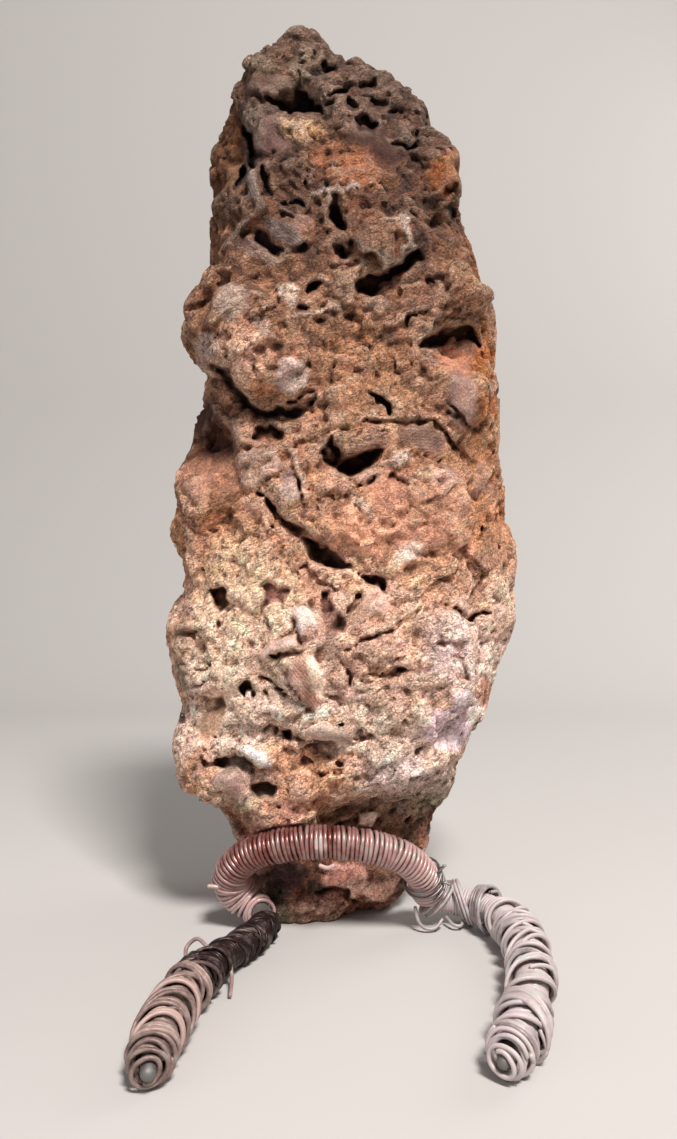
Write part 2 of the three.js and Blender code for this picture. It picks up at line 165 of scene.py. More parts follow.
class LatticeNoise:
    """Smooth noise of one seed, from about -1 to 1."""

    CELLS = 64  # the pattern repeats after this many wavelengths
    TURN = np.array([[0.36, 0.48, -0.8], [-0.8, 0.6, 0.0], [0.48, 0.64, 0.6]], np.float32)
    SPREAD = 1.6  # makes up for the range that blending takes away

    def __init__(self, seed: int) -> None:
        """Fills the lattice from the seed."""
        draws = np.random.default_rng(seed)
        self._table = draws.uniform(-1, 1, (self.CELLS,) * 3).astype(np.float32) * self.SPREAD

    def at(self, points: Array, wavelength: float | Sequence[float]) -> Array:
        """Reads the noise.

        Args:
            points: One row of three for each place, in millimetres.
            wavelength: The size of one ripple, or three of them, along X, Y and Z.

        Returns:
            One value for each place.
        """
        turned = (points / np.asarray(wavelength, np.float32)).astype(np.float32) @ self.TURN
        cell = np.floor(turned)
        t = turned - cell
        t = t * t * (3 - 2 * t)
        near = cell.astype(np.int32) % self.CELLS
        far = (near + 1) % self.CELLS
        total = np.zeros(len(points), np.float32)
        for corner in CORNERS:
            ends = [far[:, a] if step else near[:, a] for a, step in enumerate(corner)]
            weight = [t[:, a] if step else 1 - t[:, a] for a, step in enumerate(corner)]
            total += self._table[ends[0], ends[1], ends[2]] * weight[0] * weight[1] * weight[2]
        return total


class CellNoise:
    """Scattered points of one seed, for clumps and pits."""

    CELLS = 48
    JITTER = 0.75  # how far a cell's point strays from its middle

    def __init__(self, seed: int) -> None:
        """Scatters one point to each cell.

        Args:
            seed: What the places follow from.
        """
        draws = np.random.default_rng(seed)
        self._points = 0.5 + (draws.random((self.CELLS,) * 3 + (3,)) - 0.5).astype(np.float32) * self.JITTER
        self._numbers = draws.random((self.CELLS,) * 3).astype(np.float32)

    def at(self, points: Array, size: float) -> tuple[Array, Array, Array]:
        """Finds the nearest scattered point.

        Args:
            points: One row of three for each place, in millimetres.
            size: The size of a cell.

        Returns:
            The distance to the nearest point and how much farther the second one is, as shares of the cell,
            and the nearest one's own number from 0 to 1.
        """
        scaled = (points / size).astype(np.float32)
        base = np.floor(scaled - 0.5).astype(np.int32)
        nearest = np.full(len(points), 9.0, np.float32)
        second = nearest.copy()
        number = np.zeros(len(points), np.float32)
        for corner in CORNERS:
            cell = base + np.array(corner, np.int32)
            wrapped = tuple((cell % self.CELLS).T)
            away = cell + self._points[wrapped] - scaled
            found = np.einsum("ij,ij->i", away, away)
            closer = found < nearest
            second = np.where(closer, nearest, np.minimum(second, found))
            nearest = np.where(closer, found, nearest)
            number = np.where(closer, self._numbers[wrapped], number)
        nearest = np.sqrt(nearest)
        return nearest, np.sqrt(second) - nearest, number


# ---------------------------------------------------------------- marks on the stone's front


DEEP = -2.5  # a mark that goes in this far has an overhanging upper edge


class Form(Enum):
    """The outline of a mark."""

    SPOT = "an ellipse"
    LINE = "a band along a broken line"
    PLATE = "a patch with corners"


@dataclass(frozen=True)
class Mark:
    """One feature of the stone's front: a hollow, crack, chip, ledge or patch of colour.

    Places are sideways and upward millimetres on the plane at MARK_PLANE_Y, as seen from the eye.
    """

    form: Form
    points: tuple[Spot, ...]
    size: Spot = (1.0, 1.0)  # a spot's half width and height, or half a line's width at each end
    rise: float = 0.0  # how far it stands out, or in where negative
    turn: float = 0.0  # degrees, anticlockwise
    slope: float = 1.0  # the width of its edge
    calm: float = 0.0  # how smooth it is, from 0 to 1
    tint: str = ""
    cover: float = 0.9  # how much of the tint shows
    grain: float | None = None  # the direction of its fine stripes, in degrees

    def depth_inside(self, x: Array, z: Array) -> Array:
        """How far places lie inside the mark's outline.

        Args:
            x: Sideways places.
            z: Upward places.

        Returns:
            Millimetres inside, negative outside.
        """
        if self.form is Form.SPOT:
            (cx, cz), turn = self.points[0], math.radians(self.turn)
            along = (x - cx) * math.cos(turn) + (z - cz) * math.sin(turn)
            across = (z - cz) * math.cos(turn) - (x - cx) * math.sin(turn)
            return (1 - np.hypot(along / self.size[0], across / self.size[1])) * min(self.size)
        if self.form is Form.LINE:
            return self._inside_line(x, z)
        return self._inside_plate(x, z)

    def _inside_line(self, x: Array, z: Array) -> Array:
        """How far places lie inside a band that widens or narrows along its way and runs out at both ends.

        Args:
            x: Sideways places.
            z: Upward places.

        Returns:
            Millimetres inside, negative outside.
        """
        best = np.full(x.shape, -np.inf)
        spans = len(self.points) - 1
        for i, (start, end) in enumerate(zip(self.points, self.points[1:])):
            t, away = nearest_on(start, end, x, z)
            share = (i + t) / spans
            half = self.size[0] + (self.size[1] - self.size[0]) * share
            half = half * smooth(-0.06, 0.2, np.minimum(share, 1 - share))
            best = np.maximum(best, half - away)
        return best

    def _inside_plate(self, x: Array, z: Array) -> Array:
        """How far places lie inside a closed outline of straight sides.

        Args:
            x: Sideways places.
            z: Upward places.

        Returns:
            Millimetres inside, negative outside.
        """
        nearest = np.full(x.shape, np.inf)
        crossings = np.zeros(x.shape, bool)
        for (ax, az), (bx, bz) in zip(self.points, self.points[1:] + self.points[:1]):
            nearest = np.minimum(nearest, nearest_on((ax, az), (bx, bz), x, z)[1])
            if az != bz:
                crossings ^= ((az > z) != (bz > z)) & (x < ax + (z - az) * (bx - ax) / (bz - az))
        return np.where(crossings, nearest, -nearest)


def nearest_on(start: Spot, end: Spot, x: Array, z: Array) -> tuple[Array, Array]:
    """Finds the nearest place on a straight line.

    Args:
        start: The line's start.
        end: The line's end.
        x: Sideways places to measure from.
        z: Upward places to measure from.

    Returns:
        Where along the line the nearest place is, from 0 to 1, and how far away.
    """
    dx, dz = end[0] - start[0], end[1] - start[1]
    t = np.clip(((x - start[0]) * dx + (z - start[1]) * dz) / (dx * dx + dz * dz), 0, 1)
    return t, np.hypot(x - start[0] - t * dx, z - start[1] - t * dz)


def spot(at: Spot, size: Spot, **more: float | str) -> Mark:
    """An elliptical mark."""
    return Mark(Form.SPOT, (at,), size, **more)


def line(*points: Spot, wide: Spot, **more: float | str) -> Mark:
    """A mark along a broken line."""
    return Mark(Form.LINE, points, wide, **more)


def plate(*points: Spot, **more: float | str) -> Mark:
    """A mark with corners."""
    return Mark(Form.PLATE, points, **more)


# Broad patches of colour come first, so that the marks after them lie on top.
BROAD_COLOURS = {
    "cream to the left": spot((-29, 106), (13, 9), slope=16, tint="ffdab6", cover=0.9),
    "cream at the left edge": spot((-32, 84), (13, 14), slope=16, tint="f8dabf", cover=0.8),
    "cream in the middle": spot((10, 80), (15, 10), slope=14, tint="cc9f88", cover=0.6),
    "pale right": spot((38, 87), (9, 10), slope=10, tint="f6e2e2", cover=0.8),
    "pink field": spot((22, 127), (23, 11), slope=14, calm=0.35, tint="cb957d", cover=0.75),
    "orange field": spot((5, 123), (7, 5), rise=0.3, slope=7, calm=0.4, tint="fcbe9c"),
    "orange right edge": spot((44, 125), (4, 7), slope=6, tint="cc9068"),
    "orange chin": spot((-9, 48), (12, 12), slope=10, tint="d8a280"),
    "pale lip": spot((19, 50), (14, 6), slope=8, tint="e0d0d0", cover=0.7),
    "mossy lip": spot((29, 43), (13, 3), slope=6, tint="8b8570", cover=0.7),
    # The nose face's pale tint is partly the crust's colour and partly a painted highlight where the light
    # falls on it.
    "nose face": spot((-30, 175), (11, 11), rise=0.5, slope=6, tint="f8c2a6", cover=0.9),
    "tan middle": spot((6, 170), (17, 12), slope=12, tint="c08a66", cover=0.7),
    # The left recess's near-black tint is painted shade under the nose.
    "left recess": spot((-38, 151), (6, 9), rise=-0.5, slope=6, calm=0.4, tint="38160b"),
    "left lump": spot((-40, 136), (9, 8), rise=0.8, slope=6, calm=0.5, tint="9a6d58"),
    "left lump, orange": spot((-36, 126), (6, 4), slope=5, tint="b97f58", cover=0.7),
}

CROWN = {
    "cave": plate(
        (-12.5, 255.5), (-10, 255.5), (-7.5, 252.5), (-4, 248.5), (-9, 249), (-13, 250.5), rise=-9,
    ),
    "crack above the cave": line((-11.5, 262), (-11.5, 255), wide=(0.5, 0.5), rise=-3),
    "left slit": plate((-21.5, 252.5), (-14, 253), (-13, 248.5), (-17, 250.5), rise=-7),
    "right cave": plate((5, 246.5), (8.5, 247.5), (13, 244.5), (10, 242.5), (6, 243.5), rise=-7),
    "slit": line((16, 239.5), (20, 238.5), (23, 240), wide=(0.7, 0.4), rise=-4.5),
    "slit 1": line((-4, 262), (-2, 261.3), (-0.5, 261.5), wide=(0.9, 0.5), rise=-3.5),
    "crevice": line((6, 257.5), (8.5, 256), (11, 257), (12, 259), wide=(1.3, 0.6), rise=-4),
    "slit 3": line((-3.5, 253), (-1, 254), (1.5, 254), (2.5, 256), wide=(0.8, 0.7), rise=-3.5),
    "slit 4": line((3, 252), (3.5, 250), (5, 249), wide=(0.8, 0.9), rise=-3),
    "pit 5": spot((16, 248.5), (1.3, 0.8), rise=-3),
    "slit 6": line((10, 252), (12, 251), (14.5, 251.5), wide=(0.7, 0.9), rise=-3),
    "pit 7": spot((14.5, 253.5), (1.1, 0.7), rise=-2.5),
    "slit at the right": line((20.5, 249.5), (26, 248.5), wide=(0.6, 0.5), rise=-3),
    "upper plate": plate(
        (-26.5, 258.5), (-22.5, 260), (-14, 258), (-12, 254.5), (-22.5, 253), (-27.5, 254.5),
        rise=1, slope=2, calm=0.7, tint="705347",
    ),
    "brow": plate(
        (-24, 248.5), (-14.5, 247.5), (-15, 242), (-14, 237.5), (-22.5, 236), (-25.5, 240), (-23.5, 244.5),
        rise=1, slope=2, calm=0.8, tint="7d5f57",
    ),
    "rear strip": plate(
        (-31, 254.5), (-29.5, 248.5), (-28, 241.5), (-31, 231.5), (-33, 224.5), (-37.5, 224.5), (-39, 232),
        (-36, 241.5), (-33.5, 250.5), rise=-0.4, slope=2, calm=0.3, tint="74441f",
    ),
    # The side cleft's near-black tint is painted shade in the cleft.
    "side cleft": line(
        (-28.5, 245), (-27, 241.5), (-25, 237), (-29.5, 232), (-32, 225), wide=(1.3, 0.7), rise=-5,
        slope=1.5, tint="2c1a10"
    ),
    "top knob": spot((-13.6, 270), (4.8, 4.2), rise=1.6, slope=1.6),
    "pale knob": spot((-10.2, 263.5), (5.2, 4.6), rise=2.2, slope=1.6, tint="a08a72", cover=0.7),
    "right knob": spot((-2.8, 266.5), (4.6, 4.2), rise=1.6, slope=1.6),
    "pink knob": spot((-18.9, 266.5), (2.6, 2.2), rise=1.6, slope=1.2, tint="93705c", cover=0.8),
    "left shoulder": spot((-23.3, 262.6), (4.6, 3.4), rise=2, slope=1.4, tint="a18a6c", cover=0.8),
    "shoulder under it": spot((-25.8, 247), (3.2, 4.6), rise=1.8, slope=1.4, tint="93796a", cover=0.7),
    "knob beside the cave": spot((-3.6, 254.8), (3.4, 3.6), rise=1.6, slope=1.4),
    "cream boss": spot((-9.5, 243.5), (6.5, 4.7), rise=2.2, slope=4, tint="ffc692", cover=0.95),
    "cream boss, top": spot((-10.5, 245.5), (3.5, 2), rise=0.6, slope=2, tint="fbd8ac", cover=0.9),
    "mauve sheet": spot((9.5, 237.5), (9, 5.6), rise=1, turn=-28, slope=4, calm=0.75, tint="3c1d13"),
    "orange band": spot(
        (1.5, 232), (12, 5.2), rise=0.6, turn=-18, slope=5, calm=0.3, tint="da8f63", cover=0.85,
    ),
    "pale spot": spot((-2, 233), (1.8, 1.8), rise=0.5, slope=2, tint="dfbda4"),
    "orange boss": spot((31.5, 232), (6.9, 7.7), rise=0.6, slope=5, calm=0.4, tint="b3632e"),
    "pit in the boss": spot((33.5, 225.5), (1.3, 1.1), rise=-3.5),
    # The dark tint in the gap under the boss is painted shade.
    "gap under the boss": spot((34, 219.5), (1.2, 2.1), rise=-3, turn=-10, tint="22140c"),
    "left knob": spot((-36.5, 219.5), (2.6, 2.5), rise=1, slope=4, tint="8a5a40"),
}

CHIPS = {
    "grey chip": plate(
        (-28.5, 234.5), (-26.5, 231.5), (-23.5, 225), (-21.5, 219), (-23, 217.5), (-26.5, 223),
        (-29, 229.5),
        rise=2.6, slope=0.9, calm=0.7, tint="463a3c", grain=-66,
    ),
    # The dark tint in the gap beside the chip is painted shade.
    "gap beside it": line(
        (-23.5, 233), (-21.5, 228), (-20, 223.5), wide=(1.2, 0.9), rise=-4, tint="3d2820",
    ),
    "its pale edge": line((-28, 234), (-25, 228), (-23, 222.5), wide=(0.4, 0.4), rise=0.6, tint="c9b0a2"),
    "striped chip": plate(
        (-23.5, 217.5), (-19.5, 216.5), (-13, 214), (-10, 209.5), (-13, 207.5), (-18.5, 211), (-22, 212.5),
        rise=1.6, slope=1.2, calm=0.4, tint="635150", grain=-35,
    ),
    "striped flake": plate(
        (-29.5, 211), (-25, 211.5), (-20.5, 206.5), (-17, 203), (-20, 202.5), (-25.5, 205), (-29, 208.5),
        rise=0.8, slope=1.5, calm=0.4, tint="7a625a", cover=0.8, grain=-28,
    ),
    "slit 1": line((-18, 218.5), (-13, 216), wide=(0.6, 0.5), rise=-3),
    "slit 2": line((-17, 220.5), (-13, 221.5), (-10.5, 220.5), wide=(0.7, 0.7), rise=-4),
    "shadow under the chip": line((-24.5, 213), (-21.5, 209), (-16, 206), wide=(1.4, 0.9), rise=-6),
    "arched slit": line((-29, 212.5), (-26.5, 213.5), (-24, 213), wide=(0.5, 0.5), rise=-2.5),
    "pit": spot((-11.5, 208.5), (2.0, 1.4), rise=-3.5),
    "pink bit": spot((-10.5, 215), (3.1, 2.7), rise=0.8, slope=2, calm=0.5, tint="bd8f82"),
    "wedge slot": plate(
        (-3.5, 224), (-0.5, 223.5), (1.5, 218), (1.8, 212.5), (0, 213), (-2.5, 219), rise=-8,
    ),
    "end of the wedge": spot((-2, 222.3), (1.6, 2.0), rise=5, slope=2, calm=0.8, tint="8a766f"),
    "pale crust": line(
        (-7.5, 224.5), (-5, 225.5), (-1, 225), (3, 226), (8.5, 226.5), wide=(0.9, 0.9), rise=0.9,
        tint="f2dccc",
    ),
    "slab": plate(
        (3.5, 224.5), (10, 225), (14.5, 218.5), (20, 216), (22, 213), (23, 208.5), (15, 202), (12, 205.5),
        (6, 209.5), (-1, 210.5), (2, 216.5), rise=3.2, slope=1.4, tint="86482b", cover=0.75,
    ),
    "rim of the slab": line(
        (-1, 210.5), (6, 210), (12, 206), (15.5, 203), (22.5, 208.5), (21.5, 213.5), (20, 217),
        (14, 217.5),
        wide=(0.8, 0.8), rise=0.8, tint="fce8da",
    ),
    "under the slab": plate(
        (5.5, 194.5), (6.5, 198), (12.5, 199), (18.5, 203.3), (23.2, 207.8), (24.5, 206), (20, 201),
        (14.5, 197.5), (10.5, 194.5), rise=-9,
    ),
    "under the rim": plate(
        (1, 208.5), (6, 208), (12, 204), (12, 201.5), (6, 203), (1.5, 205.5), rise=-2, slope=1.5,
    ),
    "slab pit 1": spot((1, 207), (2.4, 1.4), rise=-3.5),
    "slab pit 2": spot((4, 203), (1.8, 1.0), rise=-3),
    "small cave": plate((-10.5, 197), (-7.5, 198), (-4, 197), (-5.5, 194.5), (-9, 194.5), rise=-6),
    "right pit": spot((28.5, 197.5), (1.8, 1.3), rise=-3.5),
    "right seam": line((25.5, 215), (29.5, 215), (34, 215.5), wide=(0.4, 0.4), rise=-2),
}

NOSE = {
    "grey crust": spot(
        (-32, 191.5), (6.4, 5.5), rise=0.8, turn=20, slope=3, calm=0.3, tint="b09a90", cover=0.85,
    ),
    "white crust": spot((-14.5, 194.5), (3.6, 2.9), rise=0.8, slope=1.5, tint="e6d2c0"),
    "crust line": line(
        (-13, 188.5), (-8, 188), (-2.5, 190), (3.5, 189), wide=(0.9, 0.8), rise=1.1, tint="dcc0ac",
    ),
    "white bit": spot((-22.5, 185), (2.5, 2.5), rise=0.5, slope=2, tint="ddc5b5", cover=0.8),
    "pit 1": spot((-11, 191), (1.9, 1.1), rise=-4),
    "pit 2": spot((-6, 185.5), (2.5, 0.9), rise=-3, turn=10),
    "pit 3": spot((4.5, 187), (2.5, 1.0), rise=-4, turn=-30),
    "pale cluster": spot((-40.5, 177.5), (3.6, 5.0), rise=0.8, slope=2, tint="ccb5aa", cover=0.85),
    # The underside's dark tint is painted shade under the overhanging nose.
    "underside": line(
        (-38.5, 172), (-36, 170.5), (-30, 163), (-24.5, 157), (-15, 157), (-6, 161.5),
        wide=(2.0, 1.3), rise=-5, slope=2.5, tint="4e2d20", cover=0.75,
    ),
    "corner": line((-15, 160.5), (-11, 162.5), (-7.5, 165.5), wide=(1.1, 0.7), rise=-4.5),
    "grey crystal": spot((-14, 169.5), (4.6, 5.8), rise=1.6, turn=-15, slope=1.6, calm=0.5, tint="d4bbb6"),
    "orange patch": spot((-23.5, 166.5), (3.9, 2.9), rise=0.5, slope=3, tint="cf8f66"),
    "ridge below": line(
        (-39.5, 162.5), (-33.5, 157), (-29.5, 153), (-28, 147.5), wide=(1.2, 1.2), rise=1.8, slope=2,
        tint="a88471", cover=0.6,
    ),
    "cavity": plate(
        (-26, 153), (-20.5, 154), (-17, 152.5), (-16.5, 149.5), (-21.5, 150), (-25.5, 149.5), rise=-6,
    ),
    "shade in the recess": spot((-35.5, 149.5), (4.2, 5.0), rise=-2.5, slope=3, tint="5a2c17", cover=0.7),
}

MIDDLE = {
    "grey block": plate(
        (-30.5, 146), (-24.5, 147), (-19, 146), (-18, 142), (-23.5, 136.5), (-27, 135.5), (-30.5, 138.5),
        rise=1.6, slope=1.4, calm=0.4, tint="a08479", cover=0.75,
    ),
    "shale bit": plate(
        (-18, 140.5), (-15, 142), (-12.5, 137), (-11.5, 132), (-15.5, 131.5), (-18.5, 135),
        rise=1, calm=0.6, tint="978380", cover=0.85,
    ),
    "bright ridge": line(
        (-15, 148), (-12.5, 142.5), (-11.5, 137), (-8.5, 130), wide=(1.0, 0.7), rise=1.8, slope=1.2,
        tint="d8b39c",
    ),
    "shadow of the ridge": line((-13, 138.5), (-11, 133), (-9.5, 129.5), wide=(0.6, 0.5), rise=-3),
    "long crack": line(
        (-24.5, 134.5), (-19, 128), (-13.5, 122.5), (-8.5, 119.5), (-3.5, 116.5), wide=(0.7, 1.6), rise=-5,
        slope=1.2,
    ),
    "three-sided hole": plate((-6, 146), (-1.5, 151), (1.5, 146.5), (-0.5, 142), (-3, 143.5), rise=-6.5),
    "bit in the hole": spot((-2.5, 146.5), (1.3, 2.2), rise=3, turn=20, slope=1.2, tint="9a6f5c"),
    "black slot": plate(
        (-0.5, 141), (1.5, 144), (6.5, 146), (12.5, 147.5), (9, 142.5), (3, 139.5), rise=-10,
    ),
    "short slit": line((10.5, 163), (16, 157.5), wide=(1.2, 0.9), rise=-6),
    "thin crack": line(
        (6.5, 155), (8.5, 156), (21, 155.5), (30, 155), (33, 151), (35, 148), wide=(0.5, 0.5), rise=-3
    ),
    "mauve plate": spot(
        (26, 150.5), (7.6, 3.6), rise=0.4, turn=-8, slope=2, calm=0.65, tint="7a6058", cover=0.85,
        grain=-5,
    ),
    "right cave": plate(
        (25.5, 179), (29, 182), (35.5, 184), (38.5, 185), (42, 181), (43, 178.5), (39.5, 180.5),
        (33.5, 179),
        (28, 177), rise=-9,
    ),
    "floor of the cave": spot((38, 175), (7.7, 5.6), rise=-1.8, slope=3, calm=0.5, tint="c4866a"),
    "rust beside it": spot((44, 173), (2.8, 4.2), slope=3, tint="c8742f", cover=0.7),
    "pebble": spot((37.5, 162.5), (5.3, 8.9), rise=2, turn=14, slope=4, calm=0.9, tint="83625a"),
    "edge of the pebble": line(
        (32.5, 160.5), (36, 156.5), (40.5, 153.5), (43, 155.5), wide=(0.6, 0.6), rise=-3,
    ),
    "rust on the pebble": spot((45, 161), (2.2, 4.3), slope=3, tint="bd6c36"),
    "slit 1": line((6.5, 136.5), (11.5, 139), wide=(0.7, 0.4), rise=-4),
    "slit 2": line((15.5, 138.5), (20.5, 137), wide=(0.5, 0.4), rise=-3),
    "cream streak": line(
        (4.5, 135), (7, 130), (12.5, 125.5), wide=(1.8, 0.8), rise=0.9, slope=1.6, tint="e3c8b2",
    ),
    "white bit 1": spot((20.5, 115.5), (5.6, 2.3), rise=0.8, turn=34, slope=1.4, calm=0.4, tint="f0e0d3"),
    "white bit 2": spot((18.5, 144), (2.8, 2.1), rise=0.6, slope=2, tint="dfc9bb"),
    "mauve edge": spot((43, 139), (2.9, 5.0), rise=0.3, slope=3, calm=0.5, tint="a4847a", cover=0.75),
    "mauve bit": spot((31.5, 139), (3.9, 3.0), rise=0.2, slope=3, calm=0.4, tint="a98880", cover=0.6),
    "row of pits": line((18, 184.5), (23, 187), (28, 189), wide=(0.8, 0.6), rise=-3),
}

LOWER = {
    "crevice": plate(
        (-11, 120), (-5.5, 118), (-1, 116), (4, 112), (-1, 111), (-6.5, 112.5), (-9, 115.5),
        rise=-6, slope=1.4, calm=0.4, tint="6b4c38",
    ),
    "arched hole": plate(
        (6.5, 109), (10.5, 109.5), (14, 107), (14.5, 104), (12, 105.5), (9, 107), rise=-6.5,
    ),
    "bit under the hole": spot(
        (11, 101.5), (4.0, 4.1), rise=0.8, slope=2, calm=0.5, tint="bd9c8f", cover=0.8,
    ),
    "left hole": plate(
        (-39, 104.5), (-33.5, 105), (-32, 100.5), (-35.5, 98), (-37.5, 99), rise=-3.2, calm=0.4,
        tint="a88068",
    ),
    "mauve dent": plate(
        (-24, 106), (-19.5, 107.5), (-16, 105), (-17, 101), (-19.5, 101.5), (-22.5, 98.5), (-22.5, 102.5),
        rise=-2.6, slope=1.5, calm=0.3, tint="8d6258", cover=0.8,
    ),
    "mauve dent, low": plate(
        (-5, 103), (-2, 104.5), (-0.5, 99), (3, 95), (2, 91.5), (-2, 92), (-4.5, 96),
        rise=-3, slope=1.6, calm=0.3, tint="7f5b50", cover=0.8,
    ),
    "tooth": plate(
        (-14, 98.5), (-12, 100.5), (-8.5, 99.5), (-5.5, 94), (-9.5, 95), (-11, 90.5), (-12.5, 93),
        rise=2.4, slope=0.7, calm=0.8, tint="c6bcba", cover=1.0,
    ),
    "crack beside the tooth": line((-13, 96.5), (-12, 91.5), (-12, 86.5), wide=(0.5, 0.5), rise=-3.5),
    "crescent": plate(
        (-24, 85), (-20.5, 89), (-13, 91), (-12, 88.5), (-13, 87), (-19, 86), (-22.5, 83.5),
        rise=2, slope=0.9, calm=0.9, tint="9c8078",
    ),
    "under the crescent": line((-20, 84), (-16, 85.5), (-12, 86), wide=(0.7, 0.7), rise=-4),
    "lens": plate(
        (-11, 86), (-7.5, 85), (-3.5, 77), (-5, 71), (-7.5, 69), (-12.5, 72.5), (-15, 78), (-14, 84),
        rise=2.6, slope=1.1, calm=0.92, tint="94695a", grain=-50,
    ),
    "pale side of the lens": plate(
        (-10, 85), (-7.5, 85), (-4, 77), (-5, 71.5), (-8, 74.5), (-9.5, 80), rise=0.4, calm=0.92,
        tint="f2dccb",
    ),
    "under the lens": line((-15.5, 77), (-12.5, 71.5), (-7.5, 68), wide=(0.5, 0.5), rise=-2.5),
    "crack right of the lens": line((1, 84.5), (2.5, 80), (3.5, 74.5), wide=(0.5, 0.5), rise=-3),
    "hole of the crystal": spot((-27.5, 74), (2.2, 2.2), rise=-5),
    "crystal": spot((-27, 73.5), (1.1, 1.2), rise=4, calm=0.9, tint="f6f3f0", cover=1.0),
    "round seam": line((-24, 79), (-19, 77), (-16.5, 73.5), (-17.5, 70.5), wide=(0.5, 0.4), rise=-2.2),
    "dent 1": spot((19.5, 80.5), (3.1, 1.4), rise=-3.2, slope=1.5, tint="8b6455", cover=0.6),
    "dent 2": spot((25.5, 81), (2.8, 1.3), rise=-2.6, slope=1.5, tint="9b7465", cover=0.6),
    "lower crack": line(
        (2, 87), (8, 89), (13.5, 91.5), (20.5, 96.5), (24.5, 100), wide=(0.8, 0.4), rise=-3.6,
    ),
    "right notch": line(
        (31, 101), (36.5, 98.5), (41, 95.5), (46, 98.5), wide=(1.1, 0.7), rise=-4, slope=1.5,
    ),
    "belly seam": line((6, 77), (11, 78.5), (15.5, 80.5), wide=(0.5, 0.4), rise=-2),
    "belly step": line((24.5, 86), (28, 87.5), (30.5, 87), wide=(0.5, 0.5), rise=-2.2),
    "grey bit 1": spot((33, 63), (6.4, 5.7), rise=0.4, slope=4, calm=0.4, tint="d6c2d0", cover=0.85),
    "grey bit 2": spot((38, 71), (4.7, 4.0), rise=0.4, slope=3, calm=0.4, tint="c6b6c6", cover=0.85),
    "rust at the edge": spot((44.5, 74.5), (2.4, 5.1), slope=3, tint="b7775d", cover=0.75),
    # The ledge's grey is partly its own tone and partly painted shade of its underside.
    "ledge": plate(
        (-9, 63.5), (-5.5, 65.5), (-1, 64), (5, 59.5), (0.5, 59), (-5.5, 60.5), (-11, 62.5),
        rise=2.8, slope=0.8, calm=0.95, tint="8e7c74", cover=1.0,
    ),
    "white above the ledge": spot((-8, 68.2), (5.6, 1.6), rise=0.6, slope=1.5, tint="efe2d8"),
    "white right of it": spot(
        (2.5, 57.5), (3.8, 1.6), rise=0.6, turn=-12, slope=1.5, calm=0.5, tint="e7d4c7",
    ),
    "hole under the ledge": line((-16, 63.5), (-12.5, 60), (-8, 58.5), wide=(1.5, 0.5), rise=-4.5),
    "white spot": plate(
        (-30, 58.5), (-25.5, 58.5), (-21.5, 55.5), (-20, 52), (-23, 51.5), (-26.5, 54.5), (-29.5, 56.5),
        rise=1.1, slope=1.2, calm=0.45, tint="d9e0e7", cover=1.0,
    ),
    "low hollow": spot((-30.5, 52.5), (6.0, 2.7), rise=-3.6, turn=-12, slope=2, tint="8d7d74", cover=0.85),
    "smooth bit": spot((-32.5, 46.5), (5.4, 4.6), rise=0.3, slope=3, calm=0.75, tint="7e665e", cover=0.9),
    "tongue of the chin": spot((-17, 39), (6, 4.5), slope=5, tint="d8a28c"),
    "hole in the chin": plate(
        (-26, 46.5), (-22.5, 47.5), (-18.5, 46), (-19.5, 43), (-24, 42.5), rise=-4.5, calm=0.4,
        tint="8a7c72",
    ),
    # The darker tints at the left edge are painted shade where the light falls off round the side.
    "left rim 1": spot((-46.5, 92), (2.4, 4.3), rise=0.3, slope=3, tint="8d7767", cover=0.8),
    "left rim 2": spot((-46.5, 80), (2.4, 4.3), rise=0.3, slope=3, tint="9a8675", cover=0.8),
    "olive trough": spot(
        (-38, 65), (2.8, 6.8), rise=-1.8, turn=-22, slope=3, calm=0.85, tint="a98d74", cover=0.85,
    ),
    "left plate": plate((-40, 72), (-35, 72), (-34, 69.5), (-39.5, 68), rise=-2, calm=0.8, tint="b79c86"),
    "tab below the lip": plate(
        (6, 37.5), (11, 38), (12, 36), (9.5, 33), (6, 33.5), rise=3, slope=1.2, calm=0.6, tint="d3b8aa"
    ),
}

FOOT = {
    "pink slab": spot((2.3, 18), (7, 4.5), rise=1.2, turn=20, slope=2, calm=0.3, tint="e4aa9c"),
    "orange lump": spot((11.7, 14.5), (5, 3.2), rise=1.8, turn=8, slope=1.5, calm=0.3, tint="f2b39c"),
    "low pink": spot((-6.8, 10), (6, 3.5), rise=1, slope=2, tint="a87868"),
    "dark patch": spot((-15.8, 19), (6, 5), slope=3, tint="4a3638", cover=0.8),
    "moss": spot((-19.7, 9), (6, 7), slope=4, tint="332f20", cover=0.85),
    "hollow": spot((-4.5, 13.5), (2.2, 1.2), rise=-3),
    "fold": line((-6, 15.5), (1, 13.5), (6, 11), wide=(0.6, 0.6), rise=-3),
}

ALL_MARKS = [
    mark for group in (BROAD_COLOURS, CROWN, CHIPS, NOSE, MIDDLE, LOWER, FOOT) for mark in group.values()
]


# The ripples of the noise that shifts a mark's edges: coarse, soft and fine, each sideways and up. The last
# one makes a mark's depth uneven.
SHIFT_SIZES = (3.4, 3.4, 9.0, 9.0, 1.5, 1.5, 5.0)
SHIFT_SEED = 11


